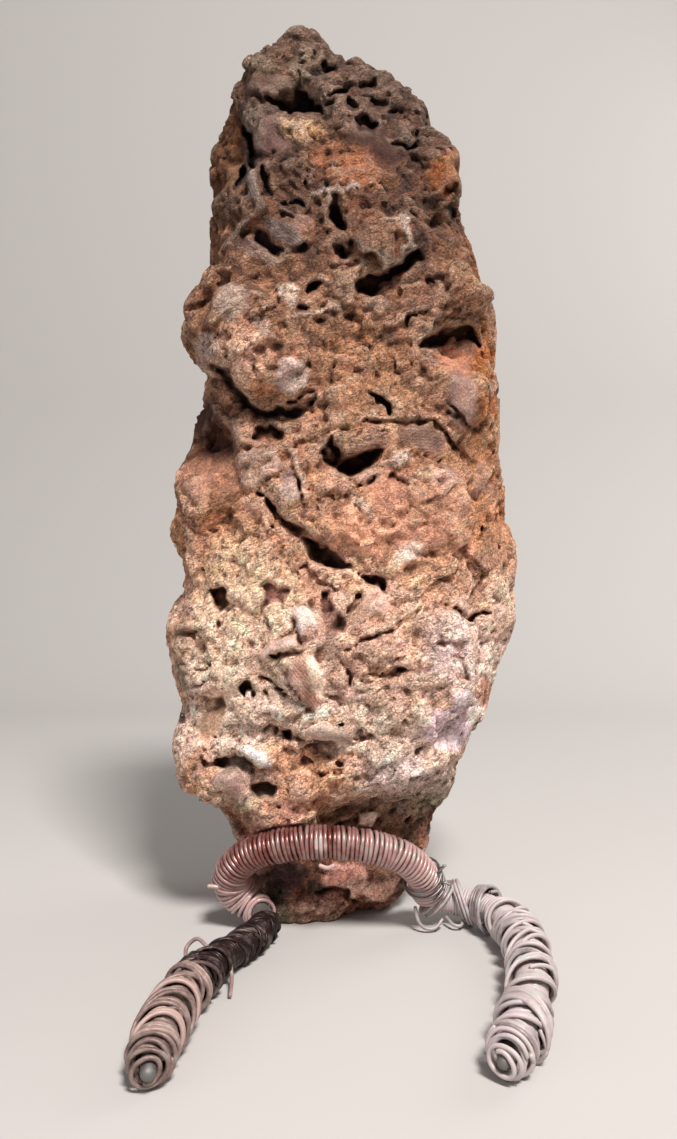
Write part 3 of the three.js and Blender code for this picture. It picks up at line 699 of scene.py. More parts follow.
@dataclass
class FrontMap:
    """The marks drawn on the upright plane at MARK_PLANE_Y."""

    low: Spot = (-64.0, -4.0)
    high: Spot = (66.0, 286.0)
    step: float = 0.25
    ragged: Place = (0.9, 0.35, 0.5)  # how far coarse, soft and fine noise shift an edge
    lip: float = 0.8  # how far the upper edge of a hollow hangs over it
    rise: Array = field(init=False)
    # Where the overhanging upper edges of hollows are, for their painted highlight.
    rim: Array = field(init=False)
    calm: Array = field(init=False)
    cover: Array = field(init=False)
    colour: Array = field(init=False)
    striped: Array = field(init=False)
    across: Array = field(init=False)  # the place across the stripes

    def __post_init__(self) -> None:
        """Draws all the marks."""
        count = [round((h - l) / self.step) + 1 for l, h in zip(self.low, self.high)]
        xs, zs = (l + self.step * np.arange(n) for l, n in zip(self.low, count))
        self._x, self._z = np.meshgrid(xs, zs, indexing="ij")
        self.rise, self.rim, self.calm, self.cover, self.striped, self.across = (
            np.zeros(self._x.shape, np.float32) for _ in range(6)
        )
        self.colour = np.zeros((*self._x.shape, 3), np.float32)
        flat = np.stack([self._x, np.zeros_like(self._x), self._z], -1).reshape(-1, 3)
        self._shifts = [
            LatticeNoise(SHIFT_SEED + i).at(flat, size).reshape(self._x.shape)
            for i, size in enumerate(SHIFT_SIZES)
        ]
        for mark in ALL_MARKS:
            self._draw(mark)

    def _draw(self, mark: Mark) -> None:
        """Draws one mark, with its edges shifted by noise.

        Args:
            mark: The mark.
        """
        margin = mark.slope + max(mark.size) + 4.0
        places = np.array(mark.points)
        first = np.floor((places.min(0) - margin - self.low) / self.step).astype(int)
        last = np.ceil((places.max(0) + margin - self.low) / self.step).astype(int)
        window = tuple(slice(max(0, a), max(1, b)) for a, b in zip(first, last))
        crumbly = 1 - 0.75 * mark.calm
        coarse, soft, fine = self.ragged
        coarse, soft, fine = coarse * crumbly, min(3.5, soft * mark.slope), fine * crumbly
        shift = [noise[window] for noise in self._shifts]
        x = self._x[window] + coarse * shift[0] + soft * shift[2] + fine * shift[4]
        z = self._z[window] + coarse * shift[1] + soft * shift[3] + fine * shift[5]
        inside = mark.depth_inside(x, z)
        slope = mark.slope
        if mark.rise <= DEEP:
            above = -np.gradient(mark.depth_inside(self._x[window], self._z[window]), self.step, axis=1)
            lip = np.exp(-(((inside + 0.8) / 0.7) ** 2)) * smooth(0.1, 0.8, above)
            lip = lip * smooth(-0.6, 0.5, shift[6])
            self.rise[window] += self.lip * lip
            self.rim[window] = np.maximum(self.rim[window], lip)
            slope = slope * (1 + 1.5 * smooth(0.0, 0.8, -above))
        amount = smooth(-0.5, 0.5, inside / slope)
        self.rise[window] += mark.rise * amount * (1 + 0.3 * shift[6])
        self.calm[window] += (mark.calm - self.calm[window]) * amount
        self.striped[window] *= 1 - amount
        if mark.grain is not None:
            turn, reach = math.radians(mark.grain), inside > -2
            across = self._z[window] * math.cos(turn) - self._x[window] * math.sin(turn)
            self.striped[window] += amount
            self.across[window] = np.where(reach, across, self.across[window])
        if mark.tint:
            stain_and_shade = smooth(-0.5, 0.5, inside / max(0.4 + 0.35 * mark.slope, 1.6 * (mark.slope - 2.5)))
            self._tint(window, srgb(mark.tint), stain_and_shade * mark.cover)

    def _tint(self, window: tuple[slice, slice], tint: Array, share: Array) -> None:
        """Lays a tint over what is there.

        Args:
            window: The part of the map.
            tint: The tint, as three sRGB values.
            share: How much of it shows at each place.
        """
        before = self.cover[window] * (1 - share)
        total = before + share
        both = self.colour[window] * before[..., None] + tint * share[..., None]
        self.colour[window] = both / np.maximum(total, 1e-6)[..., None]
        self.cover[window] = total

    def cells(self, points: Array) -> tuple[Array, Array]:
        """The map cell in which each point is seen.

        Args:
            points: One row of three for each place, in millimetres.

        Returns:
            The cells' two numbers.
        """
        scale = (MARK_PLANE_Y - EYE_Y) / (points[:, 1] - EYE_Y)
        seen = (points[:, 0] * scale, EYE_Z + (points[:, 2] - EYE_Z) * scale)
        return tuple(
            np.clip(np.rint((values - low) / self.step).astype(np.int32), 0, size - 1)
            for values, low, size in zip(seen, self.low, self.rise.shape)
        )


# ---------------------------------------------------------------- the stone


@dataclass(frozen=True)
class Zone:
    """The stone's colours at one height: its ground, its patches and its odd bits."""

    height: float
    ground: str
    patch: str
    bit: str


# The bright lower middle and the darker crown and foot are partly the stone's own tones and partly painted
# light and shade.
ZONES = (
    Zone(0, "6d4c3c", "a4705c", "3f3226"),
    Zone(30, "7a5846", "a8725c", "57483a"),
    Zone(38, "ab8f7c", "bc937c", "7e765f"),
    Zone(50, "d8bcae", "daae94", "ab9b94"),
    Zone(70, "e6c6b2", "f0dcd0", "ba9e98"),
    Zone(95, "e4b9a0", "f0d0ba", "bd9184"),
    Zone(120, "d5a080", "e3b38f", "b5836f"),
    Zone(145, "b98769", "cf9d79", "96705f"),
    Zone(170, "a97c60", "c4977a", "83604f"),
    Zone(195, "96694f", "b48465", "6f5244"),
    Zone(220, "855b44", "a67253", "5f483d"),
    Zone(245, "745140", "8e664f", "523c31"),
    Zone(295, "70513f", "8c6d58", "4b382e"),
)

# The colours of the seeded chips and patches.
INCLUSION_TINTS = ("c9b2a2", "8e756b", "b87c55", "6b5046", "cdbbab", "a88a80", "c08a62")

# How much of its colour's brightness the stone keeps at each height: painted light, brighter low down and
# darker towards the crown, and partly the crown's own darker tone.
LIGHT_AND_TONE_BY_HEIGHT = ((0, 1.12), (60, 1.08), (120, 1.0), (150, 0.94), (200, 0.9), (225, 0.77), (290, 0.74))


@dataclass(frozen=True)
class Swell:
    """A broad swelling or dent of the stone's outline."""

    middle: Place
    half: Place
    rise: float  # how far it stands out, or in where negative


SWELLS = (
    Swell((53.5, -6, 92), (18, 26, 26), 5.2),
    Swell((-19.5, -5, 289), (6, 12, 7), -3.2),
    Swell((-12.5, -6.5, 292.5), (9, 14, 8), -2.4),
    Swell((1, -9.5, 282), (7.5, 14, 9), -6.0),
    Swell((12.5, -9, 276), (6, 12, 6), -2.8),
    Swell((20.5, -7.5, 271), (5, 12, 5), -2.8),
    Swell((31.5, -10, 255), (6, 14, 9), -3.5),
    Swell((39.5, -20, 237), (6, 14, 7), -3.0),
    Swell((46, -27, 201), (10, 12, 4.5), -4.5),
    Swell((-46.5, -5.5, 174), (14, 16, 7), -8.5),
    Swell((-45.5, -11.5, 204), (8, 12, 5), -3.0),
    Swell((-43, -5, 228), (7, 12, 6), -2.3),
)


@dataclass(frozen=True)
class Inclusion:
    """A chip, pit or patch that lies anywhere on the stone's sides and back."""

    middle: Array
    half: Array  # its three half sizes
    turn: Array  # the matrix that turns it
    rise: float
    calm: float
    tint: Array | None


@dataclass
class VoxelGrid:
    """A box of voxels in the stone's own millimetres."""

    low: Array
    step: float
    values: Array

    def points(self, numbers: tuple[Array, ...]) -> Array:
        """The places of voxels, given by their three numbers."""
        return np.stack([self.low[a] + self.step * numbers[a] for a in range(3)], -1).astype(np.float32)

    def at(self, points: Array) -> Array:
        """Reads the grid between its voxels.

        Args:
            points: One row of three for each place.

        Returns:
            The blended value at each place.
        """
        scaled = (points - self.low) / self.step
        cell = np.clip(np.floor(scaled).astype(np.int32), 0, np.array(self.values.shape) - 2)
        t = np.clip(scaled - cell, 0, 1)
        total = np.zeros(len(points))
        for corner in CORNERS:
            weight = np.prod([t[:, a] if step else 1 - t[:, a] for a, step in enumerate(corner)], axis=0)
            total += weight * self.values[tuple((cell + corner).T)]
        return total


def blurred(values: Array, spread: float) -> Array:
    """Softens a grid.

    Args:
        values: The grid, which isn't changed.
        spread: The softening's radius in voxels.

    Returns:
        The softened grid.
    """
    reach = math.ceil(2.2 * spread)
    weights = np.exp(-0.5 * (np.arange(-reach, reach + 1) / spread) ** 2)
    weights = (weights / weights.sum()).astype(np.float32)
    for axis in range(values.ndim):
        padding = [(0, 0)] * values.ndim
        padding[axis] = (reach, reach)
        padded = np.pad(values, padding, mode="edge")
        values = np.zeros_like(values)
        for i, weight in enumerate(weights):
            window = [slice(None)] * values.ndim
            window[axis] = slice(i, i + values.shape[axis])
            values += weight * padded[tuple(window)]
    return values


@dataclass
class PetrifiedWood:
    """The stone: a crumbly, pitted lump of silicified wood with chips, caves and cracks."""

    voxel: float = 0.68
    margin: float = 5.0
    halo: float = 16.0  # how deep the distance field reaches
    soften: float = 1.5  # rounds off the solid's facets
    wire_gap: float = 0.35  # clearance round the wound rod
    wound_top: float = 44.0  # nothing of the wound rod is higher than this
    thinnest: float = 1.6  # fins and spikes thinner than this break off
    roughest: float = 3.4  # how far the seeded roughness may reach in or out
    carved: Spot = (-12.5, 5.0)  # how deep inside the solid and how far outside it carving may reach
    front_fade: Spot = (10.0, 20.0)  # how far behind the front its marks start to fade, and are gone
    most_triangles: int = 194_000
    seed: int = 7
    inclusions: int = 110  # seeded chips, pits and patches on the sides and the back
    lean: float = math.radians(30)  # how steeply the ledges rise to the right
    ledge: float = 10.5  # the spacing of the broad ledges
    small_ledge: float = 4.3  # the spacing of the narrow ones
    block: float = 10.0  # the size of the blocks that the crust has cracked into
    chunk: float = 4.6  # the size of the smaller pieces
    knob: float = 2.7  # the size of the round knobs
    hole: float = 4.4  # the spacing of the places where a small round hole may be

    def build(self, rod: "RodRoute") -> Object:
        """Makes the stone.

        Args:
            rod: The wound rod that the stone keeps clear of.

        Returns:
            The stone's object, with its colours stored at its vertices.
        """
        self._front = FrontMap()
        self._noise = [LatticeNoise(self.seed + i) for i in range(6)]
        self._cells = [CellNoise(self.seed + 20 + i) for i in range(4)]
        grid = self._distance_field()
        self._swell(grid)
        self._front_y, self._thickness = self._front_depth(grid)
        steepness = np.hypot(*np.gradient(blurred(self._front_y, 2.0), self.voxel))
        self._faces_front = (1 - smooth(2.2, 5.0, steepness)).astype(np.float32)
        self._spots = self._inclusions(grid)
        self._carve(grid, rod)
        points, triangles = self._thinned(*self._meshed(grid))
        LOG.info("stone: %d triangles", len(triangles))
        stone = mesh_object("petrified_wood_stone", points, triangles)
        self._colour(stone, points, grid)
        return stone

    def _distance_field(self) -> VoxelGrid:
        """The distance from the plain solid, negative inside, with its facets rounded off.

        Returns:
            The distances, in a box a little larger than the solid.
        """
        points, triangles = corners_and_triangles(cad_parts["petrified_wood"].data)
        points, merged = np.unique((points / MM).round(3), axis=0, return_inverse=True)
        level = openvdb.FloatGrid.createLevelSetFromPolygons(
            points.astype(np.float32),
            triangles=merged.reshape(-1)[triangles].astype(np.uint32),
            transform=openvdb.createLinearTransform(voxelSize=self.voxel),
            halfWidth=self.halo / self.voxel,
        )
        first = np.floor((points.min(0) - self.margin) / self.voxel).astype(int)
        last = np.ceil((points.max(0) + self.margin) / self.voxel).astype(int)
        values = np.zeros(last - first, np.float32)
        level.copyToArray(values, ijk=tuple(int(i) for i in first))
        return VoxelGrid(first * self.voxel, self.voxel, blurred(values, self.soften / self.voxel))

    @staticmethod
    def _swell(grid: VoxelGrid) -> None:
        """Moves the skin in or out at the swellings and dents.

        Args:
            grid: The distance field, which is changed.
        """
        for swell in SWELLS:
            low, high = (np.array(swell.middle) + side * np.array(swell.half) for side in (-1, 1))
            first, last = (np.rint((corner - grid.low) / grid.step).astype(int) for corner in (low, high))
            window = tuple(slice(max(0, a), max(0, b)) for a, b in zip(first, last))
            counts = (np.arange(size)[part] for size, part in zip(grid.values.shape, window))
            places = (start + grid.step * count for start, count in zip(grid.low, counts))
            boxes = zip(places, swell.middle, swell.half)
            axes = [(place - middle) / half for place, middle, half in boxes]
            away = np.sqrt(sum(part**2 for part in np.meshgrid(*axes, indexing="ij", sparse=True)))
            grid.values[window] -= (swell.rise * (1 - smooth(0.0, 1.0, away))).astype(np.float32)

    @staticmethod
    def _front_depth(grid: VoxelGrid) -> tuple[Array, Array]:
        """Looks along the columns that run from the stone's front to its back.

        Args:
            grid: The distance field.

        Returns:
            The place of the stone's front and its thickness, for each column.
        """
        inside = grid.values < 0
        front = grid.low[1] + grid.step * inside.argmax(1).astype(np.float32)
        thickness = grid.step * inside.sum(1).astype(np.float32)
        columns = np.arange(len(front))
        for row, found in zip(front.T, inside.any(1).T):
            if found.any():
                row[~found] = np.interp(columns[~found], columns[found], row[found])
        return front, thickness

    def _column(self, grid: VoxelGrid, points: Array) -> tuple[Array, Array]:
        """The numbers of the column that each point is in."""
        numbers = np.rint((points - grid.low) / grid.step).astype(np.int32)
        return tuple(np.clip(numbers[:, a], 0, size - 1) for a, size in zip((0, 2), self._front_y.shape))

    def _frontness(self, grid: VoxelGrid, points: Array) -> Array:
        """Tells the stone's front from its sides and back.

        Args:
            grid: The distance field.
            points: One row of three for each place, in millimetres.

        Returns:
            One on the front, fading to none behind it and round the sides.
        """
        column = self._column(grid, points)
        behind = points[:, 1] - self._front_y[column]
        return self._faces_front[column] * (1 - smooth(*self.front_fade, behind))

    def _inclusions(self, grid: VoxelGrid) -> list[Inclusion]:
        """Scatters the seeded chips, pits and patches over the stone's skin.

        Args:
            grid: The distance field.

        Returns:
            The inclusions.
        """
        draws = np.random.default_rng(self.seed)
        skin = np.argwhere(np.abs(grid.values) < 0.5 * grid.step)
        found = []
        for place in skin[draws.integers(0, len(skin), self.inclusions)]:
            # Two in five are pits, seven in twenty stand out as chips, and the rest are flat patches.
            kind = draws.random()
            pit, chip = kind < 0.4, kind < 0.75
            half = draws.uniform(2.0, 4.0, 3) if pit else draws.uniform(3.5, 10.0, 3)
            turn = np.linalg.qr(draws.normal(size=(3, 3)))[0]
            rise = -draws.uniform(2.5, 6.0) if pit else draws.uniform(0.5, 2.4) if chip else 0.0
            tint = None if pit else srgb(INCLUSION_TINTS[draws.integers(0, len(INCLUSION_TINTS))])
            calm = draws.uniform(0.4, 0.9) if chip else 0.2
            found.append(Inclusion(grid.low + grid.step * place, half, turn, rise, calm, tint))
        return found

    def _covered(self, inclusion: Inclusion, points: Array, front: Array) -> tuple[Array, Array]:
        """Where an inclusion lies.

        Args:
            inclusion: The chip, pit or patch.
            points: One row of three for each place, in millimetres.
            front: How much each place is part of the front, where there are none.

        Returns:
            The numbers of the points near it, and how much of it is at each, from 0 to 1.
        """
        near = np.flatnonzero((np.abs(points - inclusion.middle) < 1.3 * inclusion.half.max()).all(1))
        places = points[near]
        reach = np.linalg.norm(((places - inclusion.middle) @ inclusion.turn) / inclusion.half, axis=-1)
        wobble = 0.3 * self._noise[4].at(places, 5.0) + 0.15 * self._noise[2].at(places, 2.0)
        return near, (1 - smooth(0.85, 1.05, reach + wobble)) * (1 - front[near])

    def _carve(self, grid: VoxelGrid, rod: "RodRoute") -> None:
        """Presses the marks, inclusions and roughness into the field, and clears the rod and the ground.

        Args:
            grid: The distance field, which is changed.
            rod: The wound rod.
        """
        deepest, farthest = self.carved
        numbers = np.nonzero((grid.values < farthest) & (grid.values > deepest))
        points = grid.points(numbers)
        front = self._frontness(grid, points)
        cell = self._front.cells(points)
        thickness = self._thickness[self._column(grid, points)]
        # A mark neither cuts a thin part through nor swells it out of shape.
        least, most = -0.3 * thickness - 0.8, 0.5 * thickness + 0.8
        rise = self._front.rise[cell] * front
        calm = self._front.calm[cell] * front
        for inclusion in self._spots:
            near, share = self._covered(inclusion, points, front)
            rise[near] += inclusion.rise * share
            calm[near] += (inclusion.calm - calm[near]) * share
        rise = np.clip(rise, least, most)
        close = np.flatnonzero(np.abs(grid.values[numbers] - rise) < 3.5)
        rise[close] += np.clip(self._roughness(points[close], calm[close]), -self.roughest, self.roughest)
        values = grid.values[numbers] - np.clip(rise, least, most)
        close = np.flatnonzero(points[:, 2] < self.wound_top)
        values[close] = np.maximum(values[close], rod.clearance(points[close], self.wire_gap))
        grid.values[numbers] = np.maximum(values, -points[:, 2])
        below = grid.low[2] + grid.step * np.arange(grid.values.shape[2])
        grid.values = np.maximum(grid.values, -below.astype(np.float32))
        softened = blurred(np.clip(grid.values, -4, 4), self.thinnest / self.voxel)
        grid.values = np.maximum(grid.values, softened - 0.56 * self.thinnest)

    def _roughness(self, points: Array, calm: Array) -> Array:
        """The stone's seeded roughness.

        Args:
            points: One row of three for each place, in millimetres.
            calm: How smooth the stone is at each place, from 0 to 1.

        Returns:
            How far the skin stands out at each place.
        """
        broken = self._broken(points)
        crown = smooth(200, 250, points[:, 2])
        crumbly = smooth(-0.5, 0.5, self._noise[3].at(points, 24.0) + 0.5 * crown)
        blocks = self._blocks(self._cells[0].at(broken, self.block), 2.2, 0.5)
        chunks = self._cells[1].at(broken, self.chunk)
        chunks = self._blocks(chunks, 0.9 + 0.9 * crown, 0.4 + 0.8 * crown)
        knobs = 0.3 - 0.8 * self._cells[2].at(broken, self.knob)[0] ** 2
        ledges = 2.2 * self._ledges(broken, self.ledge, self._noise[5])
        small_ledges = 0.9 * self._ledges(broken, self.small_ledge, self._noise[0])
        lumps = (1.0 + 0.8 * crown) * (np.abs(self._noise[1].at(broken, 9.0)) - 0.35)
        flakes = 0.8 * (0.35 - np.abs(self._noise[2].at(points, (3.6, 3.0, 2.6))))
        grit = 0.3 * self._noise[5].at(points, 1.6)
        near, _, number = self._cells[3].at(broken, self.hole)
        near = near + 0.1 * self._noise[2].at(points, 1.8)
        holes = -1.9 * (1 - smooth(0.14, 0.34, near)) * (number < 0.1 + 0.1 * crown * crumbly)
        loose = lumps + blocks + chunks + (ledges + small_ledges) + knobs * (0.3 + 0.7 * crumbly)
        return loose * (1 - 0.92 * calm) + (grit + flakes) * (1 - 0.95 * calm) + holes * (1 - calm)

    def _broken(self, points: Array) -> Array:
        """Shifts points about by noise, so that what is laid out on them has ragged edges.

        Args:
            points: One row of three for each place, in millimetres.

        Returns:
            The shifted points.
        """
        bent = np.stack([self._noise[i].at(points, 8.0) for i in range(3)], -1)
        torn = np.stack([self._noise[i].at(points, 2.4) for i in (3, 4, 5)], -1)
        return points + 1.8 * bent + 0.45 * torn

    @staticmethod
    def _blocks(cells: tuple[Array, Array, Array], step: Array | float, seam: Array | float) -> Array:
        """Angular bits that stand out unevenly, with seams between them.

        Args:
            cells: What CellNoise found at each place.
            step: The difference between the highest and the lowest bit.
            seam: How deep the seams are.

        Returns:
            The height at each place.
        """
        _, beyond, number = cells
        return step * (number - 0.5) - seam * (1 - smooth(0.0, 0.2, beyond))

    def _ledges(self, points: Array, spacing: float, noise: LatticeNoise) -> Array:
        """Broken ledges, each standing out at its lower edge, that rise to the right on the front.

        Args:
            points: One row of three for each place, in millimetres.
            spacing: The distance from ledge to ledge.
            noise: What bends them and breaks them off.

        Returns:
            The height at each place, from 0 to 1.
        """
        up = points[:, 2] * math.cos(self.lean) - points[:, 0] * math.sin(self.lean)
        turn = up / spacing + 0.9 * noise.at(points, 2.2 * spacing)
        turn = turn - np.floor(turn)
        shown = smooth(-0.15, 0.4, noise.at(points + 40.0, 1.5 * spacing))
        return smooth(0.0, 0.16, turn) * (1 - turn) * shown

    def _meshed(self, grid: VoxelGrid) -> tuple[Array, Array]:
        """Turns the field's surface to triangles, without any bits that float free of the stone.

        Args:
            grid: The carved field.

        Returns:
            The points and the triangles.
        """
        limit = 4.0
        volume = openvdb.FloatGrid(background=limit)
        volume.transform = openvdb.createLinearTransform(voxelSize=self.voxel)
        first = tuple(int(i) for i in np.rint(grid.low / self.voxel))
        volume.copyFromArray(np.clip(grid.values, -limit, limit), ijk=first)
        points, triangles, quads = volume.convertToPolygons(isovalue=0.0, adaptivity=0.0)
        quads = np.asarray(quads).astype(np.int64)
        halves = np.concatenate([quads[:, (0, 1, 2)], quads[:, (0, 2, 3)]])
        triangles = np.concatenate([np.asarray(triangles).reshape(-1, 3).astype(np.int64), halves])
        return self._largest_piece(np.asarray(points), triangles)

    @staticmethod
    def _largest_piece(points: Array, triangles: Array) -> tuple[Array, Array]:
        """Keeps the largest connected piece of a mesh, with its faces turned outward.

        Args:
            points: One row of three for each vertex.
            triangles: Three vertex numbers for each face.

        Returns:
            The piece's points and triangles.
        """
        label = np.arange(len(points))
        while True:
            lowest = label[triangles].min(1)
            after = label.copy()
            for corner in range(3):
                np.minimum.at(after, triangles[:, corner], lowest)
            after = after[after]
            if (after == label).all():
                break
            label = after
        kept = triangles[label[triangles[:, 0]] == np.bincount(label).argmax()]
        used, renumbered = np.unique(kept, return_inverse=True)
        points, kept = points[used], renumbered.reshape(-1, 3)
        a, b, c = (points[kept[:, i]] for i in range(3))
        if np.einsum("ij,ij->i", a, np.cross(b, c)).sum() < 0:
            kept = kept[:, ::-1]
        return points, kept

    def _thinned(self, points: Array, triangles: Array) -> tuple[Array, Array]:
        """Thins the triangles out, less where the stone is rough and at its front.

        Args:
            points: One row of three for each vertex, in millimetres.
            triangles: Three vertex numbers for each face.

        Returns:
            The points and triangles that are left.
        """
        rough = mesh_object("stone_before_thinning", points / MM, triangles)
        group = rough.vertex_groups.new(name="may_thin")
        shares = np.round(0.35 + 0.65 * smooth(-15, 15, points[:, 1]), 1)
        for share in np.unique(shares):
            group.add(np.flatnonzero(shares == share).tolist(), float(share), "REPLACE")
        thin = rough.modifiers.new("thin", "DECIMATE")
        thin.ratio = min(1.0, self.most_triangles / len(triangles))
        thin.vertex_group = group.name
        thin.vertex_group_factor = 0.04
        evaluated = rough.evaluated_get(bpy.context.evaluated_depsgraph_get())
        thinned = corners_and_triangles(evaluated.to_mesh())
        evaluated.to_mesh_clear()
        before = rough.data
        bpy.data.objects.remove(rough)
        bpy.data.meshes.remove(before)
        return thinned

    def _colour(self, stone: Object, points: Array, grid: VoxelGrid) -> None:
        """Stores the stone's colour, with painted shade in its hollows and painted highlights on its edges,
        and its calm and stripes at its vertices.

        Args:
            stone: The stone's object.
            points: Its vertices, in millimetres.
            grid: The carved field.
        """
        front = self._frontness(grid, points)
        cell = self._front.cells(points)
        colour = self._ground_colour(points)
        calm = np.zeros(len(points))
        for inclusion in self._spots:
            near, share = self._covered(inclusion, points, front)
            calm[near] += (inclusion.calm - calm[near]) * share
            if inclusion.tint is not None:
                colour[near] = mixed(colour[near], inclusion.tint, 0.75 * share)
        calm += (self._front.calm[cell] - calm) * front
        colour = mixed(colour, self._front.colour[cell], self._front.cover[cell] * front)
        # Painted light by height, brighter low down and darker towards the crown, with part of the crown's
        # own darker tone; the mottling is the stone's uneven tone.
        light_and_tone = np.interp(points[:, 2], *np.array(LIGHT_AND_TONE_BY_HEIGHT).T)
        mottling = 1 + 0.10 * self._noise[1].at(points, 3.0) + 0.08 * self._noise[2].at(points, 1.6)
        colour *= (light_and_tone * mottling)[:, None]
        # A painted highlight: paler on the overhanging upper edges of hollows and, in the loop below, on
        # ridges.
        pale = srgb("f0dfd0") * light_and_tone[:, None]
        colour = mixed(colour, pale, 0.35 * self._front.rim[cell] * front)
        # Painted shade in small pits, then in caves, and a painted highlight on ridges: their size, and the
        # depth at which the shade is darkest.
        for spread, deep in ((1.4, 1.3), (4.0, 2.8)):
            hollow = self._hollow(grid, points, spread)
            hollow_shade = colour * (0.46, 0.35, 0.28)
            colour = mixed(colour, hollow_shade, 0.8 * smooth(0.15 * deep, deep, hollow))
            colour = mixed(colour, pale, 0.22 * smooth(0.1 * deep, 0.8 * deep, -hollow))
        stored = np.ones((len(points), 4), np.float32)
        stored[:, :3] = linear(colour)
        attribute = stone.data.attributes.new("stone_colour", "FLOAT_COLOR", "POINT")
        attribute.data.foreach_set("color", stored.ravel())
        set_share(stone, "calm", calm)
        set_share(stone, "striped", self._front.striped[cell] * front)
        set_share(stone, "across", self._front.across[cell])

    def _ground_colour(self, points: Array) -> Array:
        """The colour under the marks: ground, patches and odd bits by height, and rust at the sides.

        Args:
            points: One row of three for each place, in millimetres.

        Returns:
            One sRGB colour for each place.
        """
        heights = [zone.height for zone in ZONES]
        z = points[:, 2] + 6 * self._noise[0].at(points, 20.0)
        tones = np.array([[srgb(tone) for tone in (zone.ground, zone.patch, zone.bit)] for zone in ZONES])
        ground, patch, bit = (
            np.stack([np.interp(z, heights, channel) for channel in tones[:, i].T], -1) for i in range(3)
        )
        broken = self._broken(points)
        block, chunk = self._cells[0].at(broken, self.block)[2], self._cells[1].at(broken, self.chunk)[2]
        drift = self._noise[3].at(broken, 16.0)
        colour = mixed(ground, patch, smooth(0.1, 0.9, drift + 1.6 * ((7.3 * block) % 1) - 0.4))
        colour = mixed(colour, bit, 0.7 * smooth(0.72, 0.8, (5.7 * chunk) % 1))
        colour = mixed(colour, patch, 0.5 * smooth(0.6, 0.7, (9.1 * chunk) % 1))
        right_rust = smooth(30, 48, points[:, 0]) * smooth(110, 130, points[:, 2])
        rust = right_rust + 0.6 * smooth(30, 48, -points[:, 0])
        rust = rust * smooth(-0.2, 0.3, self._noise[5].at(broken, 9.0))
        rust = rust * (1 - smooth(225, 250, points[:, 2]))
        return mixed(colour, srgb("b5733f"), 0.55 * rust)

    @staticmethod
    def _hollow(grid: VoxelGrid, points: Array, spread: float) -> Array:
        """How hollow the stone is: above 0 in pits and cracks, below 0 on ridges.

        Args:
            grid: The carved field.
            points: One row of three for each place, in millimetres.
            spread: The size of the hollows that count.

        Returns:
            The depth of the hollow at each place, in millimetres.
        """
        solid = np.clip(grid.values, -2.5 * spread, 2.5 * spread)
        return -VoxelGrid(grid.low, grid.step, blurred(solid, spread / grid.step)).at(points)


# ---------------------------------------------------------------- the rod and its windings

# The rod's route from the tip of the left leg, over the arch, to the tip of the right leg.
ROD_CORNERS = (
    (-40.2, -120.5, 4.7), (-40.4, -113, 5.7), (-40.2, -104, 6.3), (-38.9, -90, 6.4), (-36, -75, 6.1),
    (-31.8, -62, 5.5), (-27.4, -52, 4.9), (-24, -44, 4.6), (-22.2, -36.5, 4.8), (-23.8, -29, 5.7),
    (-29.4, -24.8, 8.6), (-33, -26, 14), (-31, -29.6, 20.4), (-25.4, -32.6, 25.2), (-17, -34.6, 28),
    (-6.8, -35.4, 29.2), (3.5, -35.4, 28.7), (13, -34.8, 26.8), (20.4, -33.2, 23.4), (25.2, -30, 18.2),
    (27.4, -25.6, 12.4), (30.4, -22, 8.2), (35.8, -21.8, 7), (42.4, -24.6, 6.9), (48.4, -33, 6.7),
    (51.6, -47, 6.7), (51.2, -63, 6.7), (48.8, -80, 6.6), (44.4, -96, 6.4), (39.6, -108.5, 5.9),
    (34.8, -117.4, 4.8),
)

# The outside of the winding, by share of the rod's length.
WOUND_RADIUS = (
    (0, 4.2), (0.025, 5.5), (0.05, 6.2), (0.13, 6.1), (0.18, 5.4), (0.22, 4.6), (0.3, 4.5), (0.34, 6),
    (0.37, 6.1), (0.41, 5.4), (0.6, 5.3), (0.63, 5.6), (0.655, 6.6), (0.68, 6.7), (0.72, 6.5), (0.95, 6.3),
    (0.975, 5.6), (1, 4.3),
)


